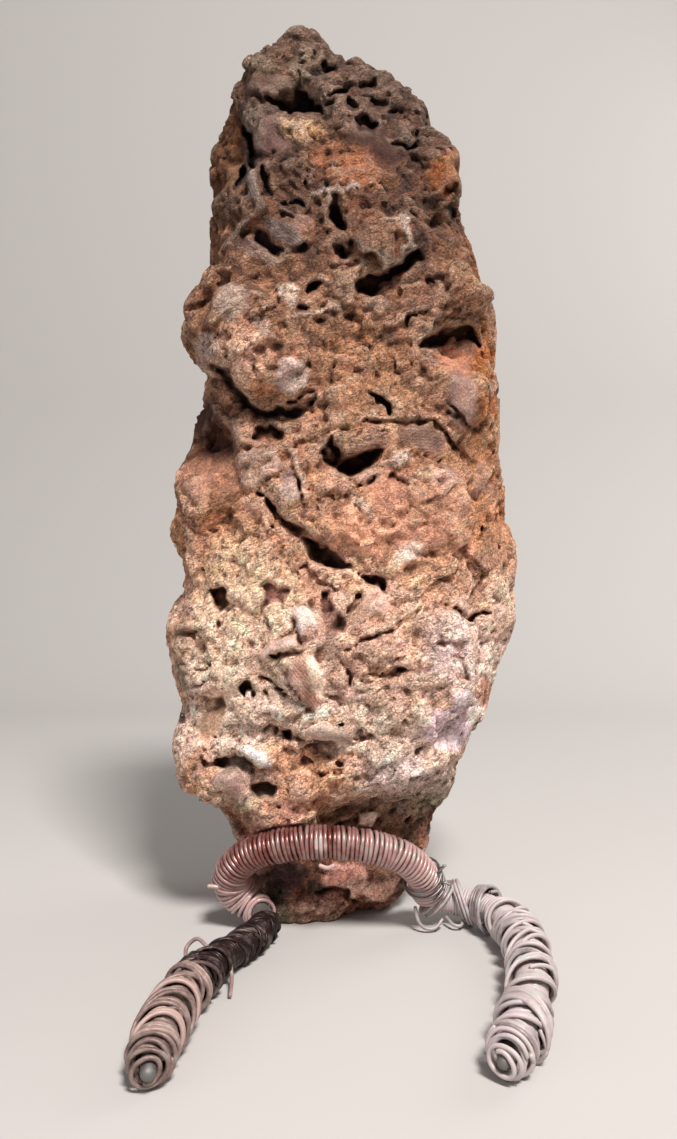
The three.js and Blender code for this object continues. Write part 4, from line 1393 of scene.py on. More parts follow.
@dataclass
class RodRoute:
    """The rod's centre line, with directions across it that don't twist."""

    corners: tuple[Place, ...] = ROD_CORNERS
    steps_a_span: int = 60
    steps: int = 1600

    def __post_init__(self) -> None:
        """Works out evenly spaced places and their directions."""
        curve = self._curve()
        run = np.concatenate([[0], np.cumsum(np.linalg.norm(np.diff(curve, axis=0), axis=1))])
        self.length = float(run[-1])
        self._shares = np.linspace(0, 1, self.steps)
        self.places = np.stack([np.interp(self._shares * run[-1], run, curve[:, a]) for a in range(3)], -1)
        self.tangents = unit(np.gradient(self.places, axis=0))
        normal = unit(np.cross(self.tangents[0], (0.0, 0.0, 1.0)))
        normals = []
        for tangent in self.tangents:
            normal = normal - tangent * normal.dot(tangent)
            normal = normal / np.linalg.norm(normal)
            normals.append(normal)
        self.normals = np.array(normals)
        self.binormals = np.cross(self.tangents, self.normals)

    def _curve(self) -> Array:
        """A smooth curve through the corners that keeps its speed even where they are unevenly spaced.

        Returns:
            One row of three for each place on it.
        """
        corners = np.array(self.corners, float)
        corners = np.vstack([2 * corners[0] - corners[1], corners, 2 * corners[-1] - corners[-2]])
        t = np.linspace(0, 1, self.steps_a_span, endpoint=False)[:, None]
        parts = []
        for a, b, c, d in zip(corners, corners[1:], corners[2:], corners[3:]):
            before, here, after = (math.sqrt(np.linalg.norm(q - p)) for p, q in ((a, b), (b, c), (c, d)))
            leave = ((b - a) / before - (c - a) / (before + here) + (c - b) / here) * here
            reach = ((c - b) / here - (d - b) / (here + after) + (d - c) / after) * here
            square, cube = 3 * (c - b) - 2 * leave - reach, 2 * (b - c) + leave + reach
            parts.append(b + leave * t + square * t**2 + cube * t**3)
        return np.vstack([*parts, corners[-2]])

    def radius(self, share: Array) -> Array:
        """The outside radius of the winding at shares of the rod's length."""
        return np.interp(share, *np.array(WOUND_RADIUS).T)

    def around(self, share: Array, angle: Array, radius: Array, ahead: Array | float = 0.0) -> Array:
        """Places around the rod.

        Args:
            share: Shares of the rod's length.
            angle: Angles round it, in radians.
            radius: Distances from its centre line.
            ahead: How far each place is moved along the rod.

        Returns:
            One row of three for each place.
        """
        place, tangent, normal, binormal = (
            np.stack([np.interp(share, self._shares, values[:, a]) for a in range(3)], -1)
            for values in (self.places, self.tangents, self.normals, self.binormals)
        )
        out = normal * np.cos(angle)[:, None] + binormal * np.sin(angle)[:, None]
        ahead = np.broadcast_to(ahead, share.shape)[:, None]
        return place + out * np.asarray(radius)[:, None] + tangent * ahead

    def clearance(self, points: Array, gap: float) -> Array:
        """Measures points against the space that the winding needs.

        Args:
            points: One row of three for each place.
            gap: The gap round the winding.

        Returns:
            How far each point is inside that space, negative outside.
        """
        every = slice(None, None, 6)
        places = self.places[every].astype(np.float32)
        radii = self.radius(self._shares[every]).astype(np.float32)
        best = np.full(len(points), -9.0, np.float32)
        for place, radius in zip(places, radii):
            away = points - place
            best = np.maximum(best, radius + gap - np.sqrt(np.einsum("ij,ij->i", away, away)))
        return best


# A direction in which no wire starts out, to square its first cross-section with.
OFF_ALL_WIRES = (0.31, 0.17, 0.93)


@dataclass
class WireMesh:
    """Lengths of round wire gathered into one mesh."""

    sides: int = 8
    tip_share: float = 0.55  # how thick the rounded tips are, as a share of the wire
    points: list[Array] = field(default_factory=list)
    triangles: list[Array] = field(default_factory=list)
    pale: list[Array] = field(default_factory=list)
    count: int = 0

    def add(self, path: Array, diameter: Array | float, pale: Array | float) -> None:
        """Adds one length of wire with rounded ends, which rests on the ground where it would sink in.

        Args:
            path: The places that its centre runs through.
            diameter: Its thickness, at every place or for all of them.
            pale: How pale it has weathered along its length, from 0 to 1.
        """
        thick = 0.5 * np.broadcast_to(diameter, len(path))
        thick = np.concatenate([thick[:1] * self.tip_share, thick, thick[-1:] * self.tip_share])
        tangents = unit(np.gradient(path, axis=0))
        path = np.vstack([path[0] - tangents[0] * thick[0], path, path[-1] + tangents[-1] * thick[-1]])
        path[:, 2] = np.maximum(path[:, 2], 1.02 * thick)
        tangents = unit(np.gradient(path, axis=0))
        across = unit(np.cross(tangents[0], OFF_ALL_WIRES))
        frames = []
        for tangent in tangents:
            across = across - tangent * across.dot(tangent)
            across = across / np.linalg.norm(across)
            frames.append(across)
        across = np.array(frames)
        up = np.cross(tangents, across)
        angles = np.linspace(0, 2 * math.pi, self.sides, endpoint=False)
        ring = across[:, None] * np.cos(angles)[:, None] + up[:, None] * np.sin(angles)[:, None]
        skin = (path[:, None] + ring * thick[:, None, None]).reshape(-1, 3)
        rows = np.arange(len(path) - 1)[:, None] * self.sides
        side, after = np.arange(self.sides)[None], (np.arange(self.sides)[None] + 1) % self.sides
        a, b, c, d = rows + side, rows + after, rows + self.sides + after, rows + self.sides + side
        faces = np.concatenate([np.stack(corners, -1).reshape(-1, 3) for corners in ((a, b, c), (a, c, d))])
        last = (len(path) - 1) * self.sides
        fan = np.arange(1, self.sides - 1)
        start = np.stack([np.zeros_like(fan), fan + 1, fan], -1)
        end = np.stack([np.full_like(fan, last), last + fan, last + fan + 1], -1)
        self.points.append(skin)
        self.triangles.append(np.concatenate([faces, start, end]) + self.count)
        shares = np.interp(np.linspace(0, 1, len(path)), np.linspace(0, 1, np.size(pale)), np.ravel(pale))
        self.pale.append(np.repeat(shares, self.sides))
        self.count += len(skin)

    def made(self, name: str) -> Object:
        """Gathers all the wire added so far.

        Args:
            name: The object's name.

        Returns:
            The mesh object.
        """
        wire = mesh_object(name, np.vstack(self.points), np.vstack(self.triangles))
        set_share(wire, "pale", np.concatenate(self.pale))
        LOG.info("%s: %d triangles", name, len(wire.data.polygons))
        return wire


def through(*corners: Place, steps: int = 12) -> Array:
    """A smooth path through a few places, for a loose end of wire."""
    return RodRoute(corners, steps_a_span=steps, steps=steps * len(corners)).places


@dataclass
class ArchWinding:
    """The arch: one wire laid turn against turn, looser at its lower left end."""

    route: RodRoute
    span: Spot = (0.302, 0.622)
    wire: float = 1.25
    pitch: float = 1.32
    loose_pitch: float = 2.3
    tightening: Spot = (0.318, 0.345)  # where the pitch goes from loose to tight
    steps_a_turn: int = 22
    seed: int = 31
    left_stub: tuple[Place, ...] = ((-34.5, -30.5, 13.6), (-37.5, -31, 14.4), (-39.6, -31, 14.6))
    low_stub: tuple[Place, ...] = ((-5.5, -38.5, 23.2), (-3.2, -39.4, 22.8), (-1.4, -39.6, 23.6))
    whitish_spot: Place = (-5.4, -41.0, 30.0)

    def build(self) -> Object:
        """Winds the arch.

        Returns:
            The arch winding.
        """
        share = self._starts()
        turns = len(share) - 1
        draws = np.random.default_rng(self.seed)
        turn = np.linspace(0, turns, turns * self.steps_a_turn + 1)
        whole = np.arange(turns + 1)
        share = np.interp(turn, whole, share)
        loose = 1 - smooth(0.33, 0.39, share)
        jitter, tilt, shift = (np.interp(turn, whole, draws.normal(0, 1, turns + 1)) for _ in range(3))
        angle = 2 * math.pi * turn
        radius = self.route.radius(share) - self.wire / 2 - 0.15 + jitter * (0.1 + 0.3 * loose)
        ahead = (0.07 + 0.16 * loose) * tilt * radius * np.cos(angle - 1.1) + 0.12 * shift
        path = self.route.around(share, angle, radius, ahead)
        pale = 0.15 + 0.1 * jitter + 0.5 * (1 - smooth(0.33, 0.4, share)) + 0.45 * smooth(0.45, 0.58, share)
        # A small whitish spot on the arch's upper front: the turns there are made paler.
        whitish = 1 - smooth(1.2, 2.2, np.linalg.norm(path - self.whitish_spot, axis=1))
        wires = WireMesh()
        wires.add(path, self.wire, np.clip(pale, 0, 1) + 2 * whitish)
        wires.add(through(*self.left_stub), self.wire, 0.7)
        wires.add(through(*self.low_stub), self.wire, 1.0)
        return wires.made("arch_wire")

    def _starts(self) -> Array:
        """Spaces the turns out, wider at the lower left end.

        Returns:
            The share of the rod's length at which each turn starts.
        """
        shares = [self.span[0]]
        while shares[-1] < self.span[1]:
            wide = 1 - float(smooth(*self.tightening, np.array(shares[-1])))
            pitch = self.pitch + (self.loose_pitch - self.pitch) * wide
            shares.append(shares[-1] + pitch / self.route.length)
        return np.array(shares)


@dataclass(frozen=True)
class Collar:
    """A bundle that goes once round the rod, laid across the others."""

    share: float
    lean: float  # how far it is tipped, as a slope
    phase: float  # the side that it is tipped to, in degrees
    strands: int = 5
    raised: float = 0.2  # how far its outer strand stands off the winding
    lap: float = 0.25
    pale: float = 0.9
    turns: float = 1.2


@dataclass
class LegWinding:
    """A leg: bundles of wire wrapped aslant over a plain layer, each turn lapping over the last."""

    route: RodRoute
    name: str
    span: Spot
    bundle_span: Spot
    paleness: Callable[[Array], Array]
    tip_first: bool  # whether the leg's free tip is at the start of its span
    collars: tuple[Collar, ...]
    loose_ends: tuple[tuple[Place, ...], ...]
    seed: int
    wire: float = 1.1
    strands: int = 6
    pitch: float = 9.6
    lap: float = 0.27
    plain_radius: float = 3.85
    steps_a_turn: int = 30
    stray_turns: int = 8

    def build(self) -> Object:
        """Winds the leg.

        Returns:
            The leg's winding.
        """
        self._draws = np.random.default_rng(self.seed)
        wires = WireMesh()
        self._plain_layer(wires)
        self._bundles(wires)
        self._stray_loops(wires)
        for collar in self.collars:
            self._collar(wires, collar)
        self._tip_coil(wires)
        for corners in self.loose_ends:
            wires.add(through(*corners), self.wire, 0.55)
        return wires.made(self.name)

    def _turns(self, span: Spot, pitch: float) -> int:
        """How many turns fit a stretch of the leg."""
        return round((span[1] - span[0]) * self.route.length / pitch)

    def _plain_layer(self, wires: WireMesh) -> None:
        """Winds the under layer, turn against turn.

        Args:
            wires: The leg's wires.
        """
        turns = self._turns(self.span, self.wire * 1.04)
        turn = np.linspace(0, turns, turns * 14 + 1)
        share = np.interp(turn, (0, turns), (self.span[0] + 0.01, self.span[1] - 0.01))
        radius = np.minimum(self.plain_radius, self.route.radius(share) - 0.9)
        wires.add(self.route.around(share, 2 * math.pi * turn, radius), self.wire, self.paleness(share))

    def _bundles(self, wires: WireMesh) -> None:
        """Winds the outer layer of lapping bundles.

        Args:
            wires: The leg's wires.
        """
        turns = self._turns(self.bundle_span, self.pitch)
        turn = np.linspace(0, turns, turns * self.steps_a_turn + 1)
        whole = np.arange(turns + 1)
        share = np.interp(turn, (0, turns), self.bundle_span)
        lean, swing, swell = (
            np.interp(turn, whole, values)
            for values in (
                self._draws.uniform(0.15, 0.6, turns + 1),
                np.cumsum(self._draws.normal(0, 0.7, turns + 1)),
                self._draws.normal(0, 0.2, turns + 1),
            )
        )
        tone = np.interp(turn, whole, self._draws.normal(0, 0.35, turns + 1))
        for strand in range(self.strands):
            own, drift = (self._wander(turns, turn) for _ in range(2))
            place = strand - (self.strands - 1) / 2
            lapped = self.lap * (strand if self.tip_first else self.strands - 1 - strand)
            radius = self.route.radius(share) - self.wire / 2 - lapped + swell + 0.14 * own
            radius = np.maximum(radius, self.plain_radius)
            ahead = lean * radius * np.cos(2 * math.pi * turn - swing) + self.wire * (place + 0.3 * drift)
            pale = np.clip(self.paleness(share) + tone + 0.08 * own, 0, 1)
            wires.add(self.route.around(share, 2 * math.pi * turn, radius, ahead), self.wire, pale)

    def _wander(self, turns: int, turn: Array) -> Array:
        """A slow seeded wander with two knots a turn."""
        knots = np.linspace(0, turns, 2 * turns + 1)
        return np.interp(turn, knots, self._draws.normal(0, 1, len(knots)))

    def _stray_loops(self, wires: WireMesh) -> None:
        """Winds single turns that cross the bundles at a steeper slant.

        Args:
            wires: The leg's wires.
        """
        low, high = sorted(self.bundle_span)
        for _ in range(self.stray_turns):
            middle = self._draws.uniform(low + 0.01, high - 0.01)
            t = np.linspace(-0.5, 0.5, 48)
            angle = 2 * math.pi * self._draws.uniform(1.1, 1.9) * t + self._draws.uniform(0, 6.28)
            radius = self.route.radius(middle + t * 0.02) - 0.15 - 1.5 * smooth(0.36, 0.5, np.abs(t))
            ahead = self._draws.uniform(0.5, 0.95) * radius * np.cos(angle - self._draws.uniform(0, 6.28))
            share = middle + t * 0.02
            wires.add(self.route.around(share, angle, radius, ahead), self.wire, self.paleness(share))

    def _collar(self, wires: WireMesh, collar: Collar) -> None:
        """Lays one bundle across the others, with its ends tucked under.

        Args:
            wires: The leg's wires.
            collar: The bundle.
        """
        t = np.linspace(-0.5, 0.5, 56)
        phase = math.radians(collar.phase)
        angle = 2 * math.pi * collar.turns * t + phase
        share = np.full(t.shape, collar.share)
        side = 1 if self.tip_first else -1
        for strand in range(collar.strands):
            own = float(self._draws.normal(0, 0.12))
            radius = self.route.radius(share) - self.wire / 2 + collar.raised - collar.lap * strand + own
            radius = radius - 1.6 * smooth(0.4, 0.5, np.abs(t))
            ahead = collar.lean * radius * np.cos(angle - phase) + side * self.wire * strand
            wires.add(self.route.around(share, angle, radius, ahead), self.wire, collar.pale + own)

    def _tip_coil(self, wires: WireMesh) -> None:
        """Winds the turns that close in round the rod's end, the last ones as a flat spiral.

        Args:
            wires: The leg's wires.
        """
        # Two coils, each with its number of turns and its widest radius.
        for strand, (turns, most) in enumerate(((2.3, 4.5), (2.6, 5.4))):
            t = np.linspace(0, 1, round(turns * 30))
            inner = 0.008 * strand
            first, last = 0.022 + inner, 0.004 + inner
            if not self.tip_first:
                first, last = 1 - first, 1 - last
            share = first + (last - first) * smooth(-0.6, 0.8, t)
            angle = 2 * math.pi * turns * t + 2.2 * strand
            uneven = 0.25 * np.sin(2.3 * angle + strand) + 0.2 * np.sin(0.9 * angle)
            radius = np.interp(t, (0, 0.3, 1), (most, most - 0.3, 2.3 + 0.9 * strand)) + uneven
            wobble = 0.2 * radius * np.cos(angle + 0.6 + strand)
            wires.add(self.route.around(share, angle, radius, wobble), self.wire, self.paleness(share))


@dataclass
class RodCore:
    """The round rod inside the windings, filed narrower at its two ends."""

    route: RodRoute
    radius: float = 3.2
    tip_radius: float = 1.6
    taper: float = 0.04

    def build(self) -> Object:
        """Makes the rod.

        Returns:
            The rod.
        """
        path = self.route.places[::8]
        share = np.linspace(0, 1, len(path))
        radius = np.interp(np.minimum(share, 1 - share), (0, self.taper), (self.tip_radius, self.radius))
        core = WireMesh(sides=20)
        core.add(path, 2 * radius, 0.0)
        return core.made("rod_core")


@dataclass
class TieWire:
    """The thin steel wire twisted round the right end of the arch, with its two ends standing out."""

    route: RodRoute
    span: Spot = (0.592, 0.612)
    wire: float = 0.8
    turns: float = 2.5
    seat: float = 0.3
    twist: tuple[Place, ...] = ((29.4, -31, 17.4), (30.6, -31.6, 19.4), (32.2, -31.8, 21.2))
    spur: tuple[Place, ...] = ((29.8, -30.4, 15.4), (32.2, -31.4, 15.8), (33.8, -31.6, 15.2))

    def build(self) -> Object:
        """Winds the tie.

        Returns:
            The tie.
        """
        turn = np.linspace(0, self.turns, round(self.turns * 20) + 1)
        share = np.interp(turn, (0, self.turns), self.span)
        radius = self.route.radius(share) + self.seat + self.wire / 2
        wires = WireMesh()
        wires.add(self.route.around(share, 2 * math.pi * turn, radius), self.wire, 0.3)
        for side in (-1, 1):
            core = through(*self.twist)
            t = np.linspace(0, 2.5 * 2 * math.pi, len(core))
            offset = np.stack([np.cos(t), np.sin(t), 0 * t], -1) * 0.3 * side
            wires.add(core + offset, self.wire * 0.8, 0.9)
        wires.add(through(*self.spur), self.wire * 0.9, 0.7)
        return wires.made("tie_wire_twist")


# ---------------------------------------------------------------- finishes


@dataclass(frozen=True)
class Finish:
    """What every finish shares: a named material with one Principled shader."""

    name: str

    def material(self) -> Material:
        """The finish's material, made on first use.

        Returns:
            The material.
        """
        found = bpy.data.materials.get(self.name)
        if found:
            return found
        made = bpy.data.materials.new(self.name)
        made.use_nodes = True
        tree = made.node_tree
        self.dress(tree, tree.nodes["Principled BSDF"])
        return made

    def dress(self, tree: NodeTree, shader: Node) -> None:
        """Adds the finish's own nodes."""
        raise NotImplementedError

    def put_on(self, made: Object) -> None:
        """Gives an object this finish alone."""
        made.data.materials.clear()
        made.data.materials.append(self.material())


def add_node(tree: NodeTree, kind: str, inputs: Sequence | dict = (), **settings: object) -> Node:
    """Adds a node with its settings and links.

    Args:
        tree: The material's node tree.
        kind: The node's type, without its ShaderNode prefix.
        inputs: What goes into its sockets, in order or by name: a value, a socket, or a node, whose first
            output is taken.
        settings: The node's own settings.

    Returns:
        The new node.
    """
    node = tree.nodes.new("ShaderNode" + kind)
    for name, value in settings.items():
        setattr(node, name, value)
    for name, value in inputs.items() if isinstance(inputs, dict) else enumerate(inputs):
        if isinstance(value, Node):
            value = value.outputs[0]
        if isinstance(value, NodeSocket):
            tree.links.new(value, node.inputs[name])
        else:
            node.inputs[name].default_value = value
    return node


def ripples(size: float) -> float:
    """The noise scale that gives ripples of a size in millimetres, for places in metres."""
    return 1 / (size * MM)


@dataclass(frozen=True)
class SilicifiedWood(Finish):
    """Petrified wood in an iron-stained crust: dull silica with crumbly pits and pale grains, its pits and
    seams darkened with painted shade.

    Its roughness keeps the shine down to a faint glint, and its IOR is that of quartz.
    """

    name: str = "petrified wood, iron-stained crust"
    # The colour of the painted shade in the pits and seams.
    pit: str = "3a2113"
    pinkish: str = "fff1f0"
    yellowish: str = "fffbee"
    stripe: float = 0.9  # the spacing of the stripes of chips that kept their wood grain
    stroke: float = 1.5  # the size of the dark pits in the crumb
    dash: float = 0.62  # the size of the small dark nicks that crowd in places
    crumb: float = 2.4
    tear: float = 1.4  # the size of what breaks up the edges of the crumbs
    patch: float = 7.0  # the size of the places where the nicks crowd
    grit: float = 0.55
    relief: float = 0.7  # how deep the pits and seams look
    lean: float = math.radians(-32)

    def dress(self, tree: NodeTree, shader: Node) -> None:
        """Crumbs, seams, pits and grit over the stored colours, for what is finer than the mesh.

        Args:
            tree: The material's node tree.
            shader: The Principled shader.
        """
        colour = add_node(tree, "Attribute", attribute_name="stone_colour")
        calm = add_node(tree, "Attribute", attribute_name="calm").outputs["Fac"]
        rough = add_node(tree, "MapRange", (calm, 0.0, 1.0, 1.0, 0.08))
        place = add_node(tree, "TexCoord").outputs["Object"]
        noises = (
            {"Vector": place, "Scale": ripples(size), "Detail": fine, "Roughness": gain}
            for size, fine, gain in ((self.tear, 3.0, 0.65), (self.patch, 3.0, 0.6), (self.grit, 2.0, 0.75))
        )
        torn, thick, grit = (add_node(tree, "TexNoise", noise) for noise in noises)
        away = {0: torn.outputs["Color"], "Scale": 1.7 * MM}
        away = add_node(tree, "VectorMath", away, operation="SCALE")
        broken = add_node(tree, "VectorMath", (place, away), operation="ADD")
        crumbs = add_node(tree, "TexVoronoi", {"Vector": broken, "Scale": ripples(self.crumb)})
        edges = add_node(
            tree, "TexVoronoi", {"Vector": broken, "Scale": ripples(self.crumb)}, feature="DISTANCE_TO_EDGE"
        ).outputs["Distance"]
        strokes = self._strokes(tree, place, self.stroke, (1.7, 1.1, 1.0))
        dashes = self._strokes(tree, place, self.dash, (2.6, 1.3, 0.9))

        # Painted shade: the pits, nicks and seams are darkened towards the pit colour.
        pits = add_node(tree, "MapRange", (strokes, 0.425, 0.385, 0.0, 1.0))
        nicks = add_node(tree, "MapRange", (dashes, 0.425, 0.37, 0.0, 1.0))
        crowded = add_node(tree, "MapRange", (thick, 0.4, 0.6, 0.25, 1.0))
        nicks = add_node(tree, "Math", (nicks, crowded), operation="MULTIPLY")
        pits = add_node(tree, "Math", (pits, nicks), operation="MAXIMUM")
        seams = add_node(tree, "MapRange", (edges, 0.07, 0.0, 0.0, 0.75))
        opened = add_node(tree, "MapRange", (torn, 0.42, 0.56, 0.0, 1.0))
        seams = add_node(tree, "Math", (seams, opened), operation="MULTIPLY")
        dark = add_node(tree, "Math", (pits, seams), operation="MAXIMUM")
        dark = add_node(tree, "Math", (dark, rough), operation="MULTIPLY")

        tone = add_node(tree, "MapRange", (crumbs.outputs["Color"], 0.0, 1.0, 0.82, 1.16))
        light = add_node(tree, "MapRange", (grit, 0.36, 0.64, 0.68, 1.42))
        light = add_node(tree, "Math", (tone, light), operation="MULTIPLY")
        shaded = add_node(tree, "MixRGB", (1.0, colour, light), blend_type="MULTIPLY")
        hue = add_node(tree, "MapRange", (thick, 0.35, 0.65, 0.0, 1.0))
        hue = add_node(tree, "MixRGB", (hue, rgba(self.pinkish), rgba(self.yellowish)))
        shaded = add_node(tree, "MixRGB", (1.0, shaded, hue), blend_type="MULTIPLY")
        shaded = self._stripes(tree, shaded, torn)
        grains = add_node(tree, "MapRange", (strokes, 0.53, 0.64, 0.0, 0.6))
        bright = add_node(tree, "VectorMath", {0: shaded, "Scale": 1.5}, operation="SCALE")
        pale = add_node(tree, "MixRGB", (grains, shaded, bright))
        hollow_shade = add_node(tree, "MixRGB", (0.22, rgba(self.pit), colour))
        deep = add_node(tree, "Math", (dark, 0.9), operation="MULTIPLY")
        stain_and_shade = add_node(tree, "MixRGB", (deep, pale, hollow_shade))
        tree.links.new(stain_and_shade.outputs[0], shader.inputs["Base Color"])
        self._emboss(tree, shader, (strokes, dashes, edges, grit, rough))
        shader.inputs["Roughness"].default_value = 0.85
        shader.inputs["IOR"].default_value = 1.54
        shader.inputs["Specular IOR Level"].default_value = 0.35

    def _stripes(self, tree: NodeTree, colour: Node, bend: Node) -> Node:
        """Darkens thin stripes where the stored share says that there are any.

        Args:
            tree: The material's node tree.
            colour: The colour under the stripes.
            bend: Noise that bends the stripes.

        Returns:
            The striped colour.
        """
        striped = add_node(tree, "Attribute", attribute_name="striped").outputs["Fac"]
        across = add_node(tree, "Attribute", attribute_name="across").outputs["Fac"]
        turn = add_node(tree, "Math", (across, 2 * math.pi / self.stripe), operation="MULTIPLY")
        turn = add_node(tree, "Math", (bend, 9.0, turn), operation="MULTIPLY_ADD")
        wave = add_node(tree, "Math", (turn,), operation="SINE")
        share = add_node(tree, "MapRange", (wave, 0.1, 1.0, 0.0, 0.6))
        share = add_node(tree, "Math", (share, striped), operation="MULTIPLY")
        dark = add_node(tree, "VectorMath", {0: colour, "Scale": 0.4}, operation="SCALE")
        return add_node(tree, "MixRGB", (share, colour, dark))

    def _strokes(self, tree: NodeTree, place: NodeSocket, size: float, drawn_out: Place) -> Node:
        """Noise drawn out a little up to the right, for pits and ridges.

        Args:
            tree: The material's node tree.
            place: The socket of the places.
            size: The size of a pit.
            drawn_out: How many times longer the pits are along X, Y and Z.

        Returns:
            The noise.
        """
        slant = add_node(
            tree, "Mapping", {"Vector": place, "Rotation": (0, self.lean, 0), "Scale": drawn_out},
            vector_type="TEXTURE",
        )
        noise = {"Vector": slant, "Scale": ripples(size), "Detail": 4.0, "Roughness": 0.62}
        return add_node(tree, "TexNoise", noise | {"Distortion": 0.5})

    def _emboss(self, tree: NodeTree, shader: Node, heights: tuple[Node | NodeSocket, ...]) -> None:
        """Raises the pits, seams and grit.

        Args:
            tree: The material's node tree.
            shader: The Principled shader.
            heights: The pits, the nicks, the distance to the seams, the grit, and how rough the stone is.
        """
        strokes, dashes, edges, grit, rough = heights
        height = add_node(tree, "MapRange", (strokes, 0.3, 0.6, 0.0, 1.0))
        nicks = add_node(tree, "MapRange", (dashes, 0.36, 0.5, 0.0, 0.6))
        height = add_node(tree, "Math", (height, nicks), operation="ADD")
        seams = add_node(tree, "MapRange", (edges, 0.0, 0.15, 0.0, 0.5))
        height = add_node(tree, "Math", (height, seams), operation="ADD")
        height = add_node(tree, "Math", (grit, 0.5, height), operation="MULTIPLY_ADD")
        strength = add_node(tree, "MapRange", (rough, 0.0, 1.0, 0.15, 0.9))
        bump = add_node(tree, "Bump", {"Strength": strength, "Distance": self.relief * MM, "Height": height})
        tree.links.new(bump.outputs[0], shader.inputs["Normal"])


@dataclass(frozen=True)
class CopperWire(Finish):
    """Drawn copper wire, browned by handling: a warm half-gloss, chalky and pale where it has weathered."""

    name: str = "copper wire, browned"
    brown: str = "82463d"
    pale: str = "cfaca7"
    green: str = "aba79a"
    shine: float = 0.27
    coat: float = 0.5
    blotch: float = 3.5  # the size of the weathered blotches
    scuff: float = 0.6  # the size of the scuffs

    def dress(self, tree: NodeTree, shader: Node) -> None:
        """Browned metal that fades to a dull bloom where the stored share says so.

        Args:
            tree: The material's node tree.
            shader: The Principled shader.
        """
        share = add_node(tree, "Attribute", attribute_name="pale").outputs["Fac"]
        place = add_node(tree, "TexCoord").outputs["Object"]
        blotches = {"Vector": place, "Scale": ripples(self.blotch), "Detail": 5.0, "Roughness": 0.65}
        blotches = add_node(tree, "TexNoise", blotches)
        scuffs = add_node(tree, "TexNoise", {"Vector": place, "Scale": ripples(self.scuff), "Detail": 2.0})
        bloom = add_node(tree, "Math", (blotches, 1.3, share), operation="MULTIPLY_ADD")
        bloom = add_node(tree, "MapRange", (bloom, 0.6, 1.5, 0.0, 1.0))
        tone = add_node(tree, "MapRange", (scuffs, 0.3, 0.7, 0.75, 1.15))
        brown = add_node(tree, "MixRGB", (1.0, rgba(self.brown), tone), blend_type="MULTIPLY")
        hue = add_node(tree, "MapRange", (blotches, 0.5, 0.7, 0.0, 1.0))
        chalk = add_node(tree, "MixRGB", (hue, rgba(self.pale), rgba(self.green)))
        metallic = add_node(tree, "MapRange", (bloom, 0.0, 1.0, 0.6, 0.12))
        roughness = add_node(tree, "MapRange", (bloom, 0.0, 1.0, self.shine, 0.6))
        bump = add_node(tree, "Bump", {"Strength": 0.35, "Distance": 0.1 * MM, "Height": scuffs})
        colour = add_node(tree, "MixRGB", (bloom, brown, chalk))
        tree.links.new(colour.outputs[0], shader.inputs["Base Color"])
        tree.links.new(metallic.outputs[0], shader.inputs["Metallic"])
        tree.links.new(roughness.outputs[0], shader.inputs["Roughness"])
        tree.links.new(bump.outputs[0], shader.inputs["Normal"])
        shader.inputs["Coat Weight"].default_value = self.coat
        shader.inputs["Coat Roughness"].default_value = 0.16


# The loose wires of the legs: the right leg's has gone chalky, the left leg's is warmer, and its brown is
# darkened almost to black as painted shade where the leg runs back under the stone.
CHALKY_WIRE = CopperWire(
    "copper wire, weathered pale", brown="3c221c", pale="c4b5b3", green="b0b5ae", shine=0.45, coat=0.15
)
TAN_AND_SHADED_WIRE = CopperWire(
    "copper wire, weathered tan, painted shade", brown="281714", pale="b79a91", green="b0a59b", shine=0.5, coat=0.1
)


@dataclass(frozen=True)
class PlainMetal(Finish):
    """Drawn metal, dulled by air and handling: a soft grey sheen with faint blotches."""

    tone: str = "b9b4b0"
    roughness: float = 0.4
    blotch: float = 1.2

    def dress(self, tree: NodeTree, shader: Node) -> None:
        """A grey metal, lightly blotched.

        Args:
            tree: The material's node tree.
            shader: The Principled shader.
        """
        place = add_node(tree, "TexCoord").outputs["Object"]
        wear = add_node(tree, "TexNoise", {"Vector": place, "Scale": ripples(self.blotch), "Detail": 4.0})
        light = add_node(tree, "MapRange", (wear, 0.0, 1.0, 0.75, 1.15))
        colour = add_node(tree, "MixRGB", (1.0, rgba(self.tone), light), blend_type="MULTIPLY")
        dull = add_node(tree, "MapRange", (wear, 0.0, 1.0, self.roughness - 0.1, self.roughness + 0.15))
        tree.links.new(colour.outputs[0], shader.inputs["Base Color"])
        tree.links.new(dull.outputs[0], shader.inputs["Roughness"])
        shader.inputs["Metallic"].default_value = 1.0


DULLED_ALUMINIUM = PlainMetal("aluminium rod, dulled", "8f8b87", 0.65)
GALVANISED_STEEL = PlainMetal("steel wire, galvanised", "8d8987", 0.45)


@dataclass(frozen=True)
class SweepPaper(Finish):
    """Matt background paper: even, with the faintest tooth."""

    name: str = "background paper, matt"
    tone: str = "bdbab6"
    tooth: float = 1.0

    def dress(self, tree: NodeTree, shader: Node) -> None:
        """One pale tone with a fine tooth.

        Args:
            tree: The material's node tree.
            shader: The Principled shader.
        """
        place = add_node(tree, "TexCoord").outputs["Object"]
        tooth = add_node(tree, "TexNoise", {"Vector": place, "Scale": ripples(self.tooth), "Detail": 2.0})
        bump = add_node(tree, "Bump", {"Strength": 0.1, "Distance": 0.1 * MM, "Height": tooth})
        tree.links.new(bump.outputs[0], shader.inputs["Normal"])
        shader.inputs["Base Color"].default_value = rgba(self.tone)
        shader.inputs["Roughness"].default_value = 0.9
        shader.inputs["Specular IOR Level"].default_value = 0.2


# ---------------------------------------------------------------- the studio


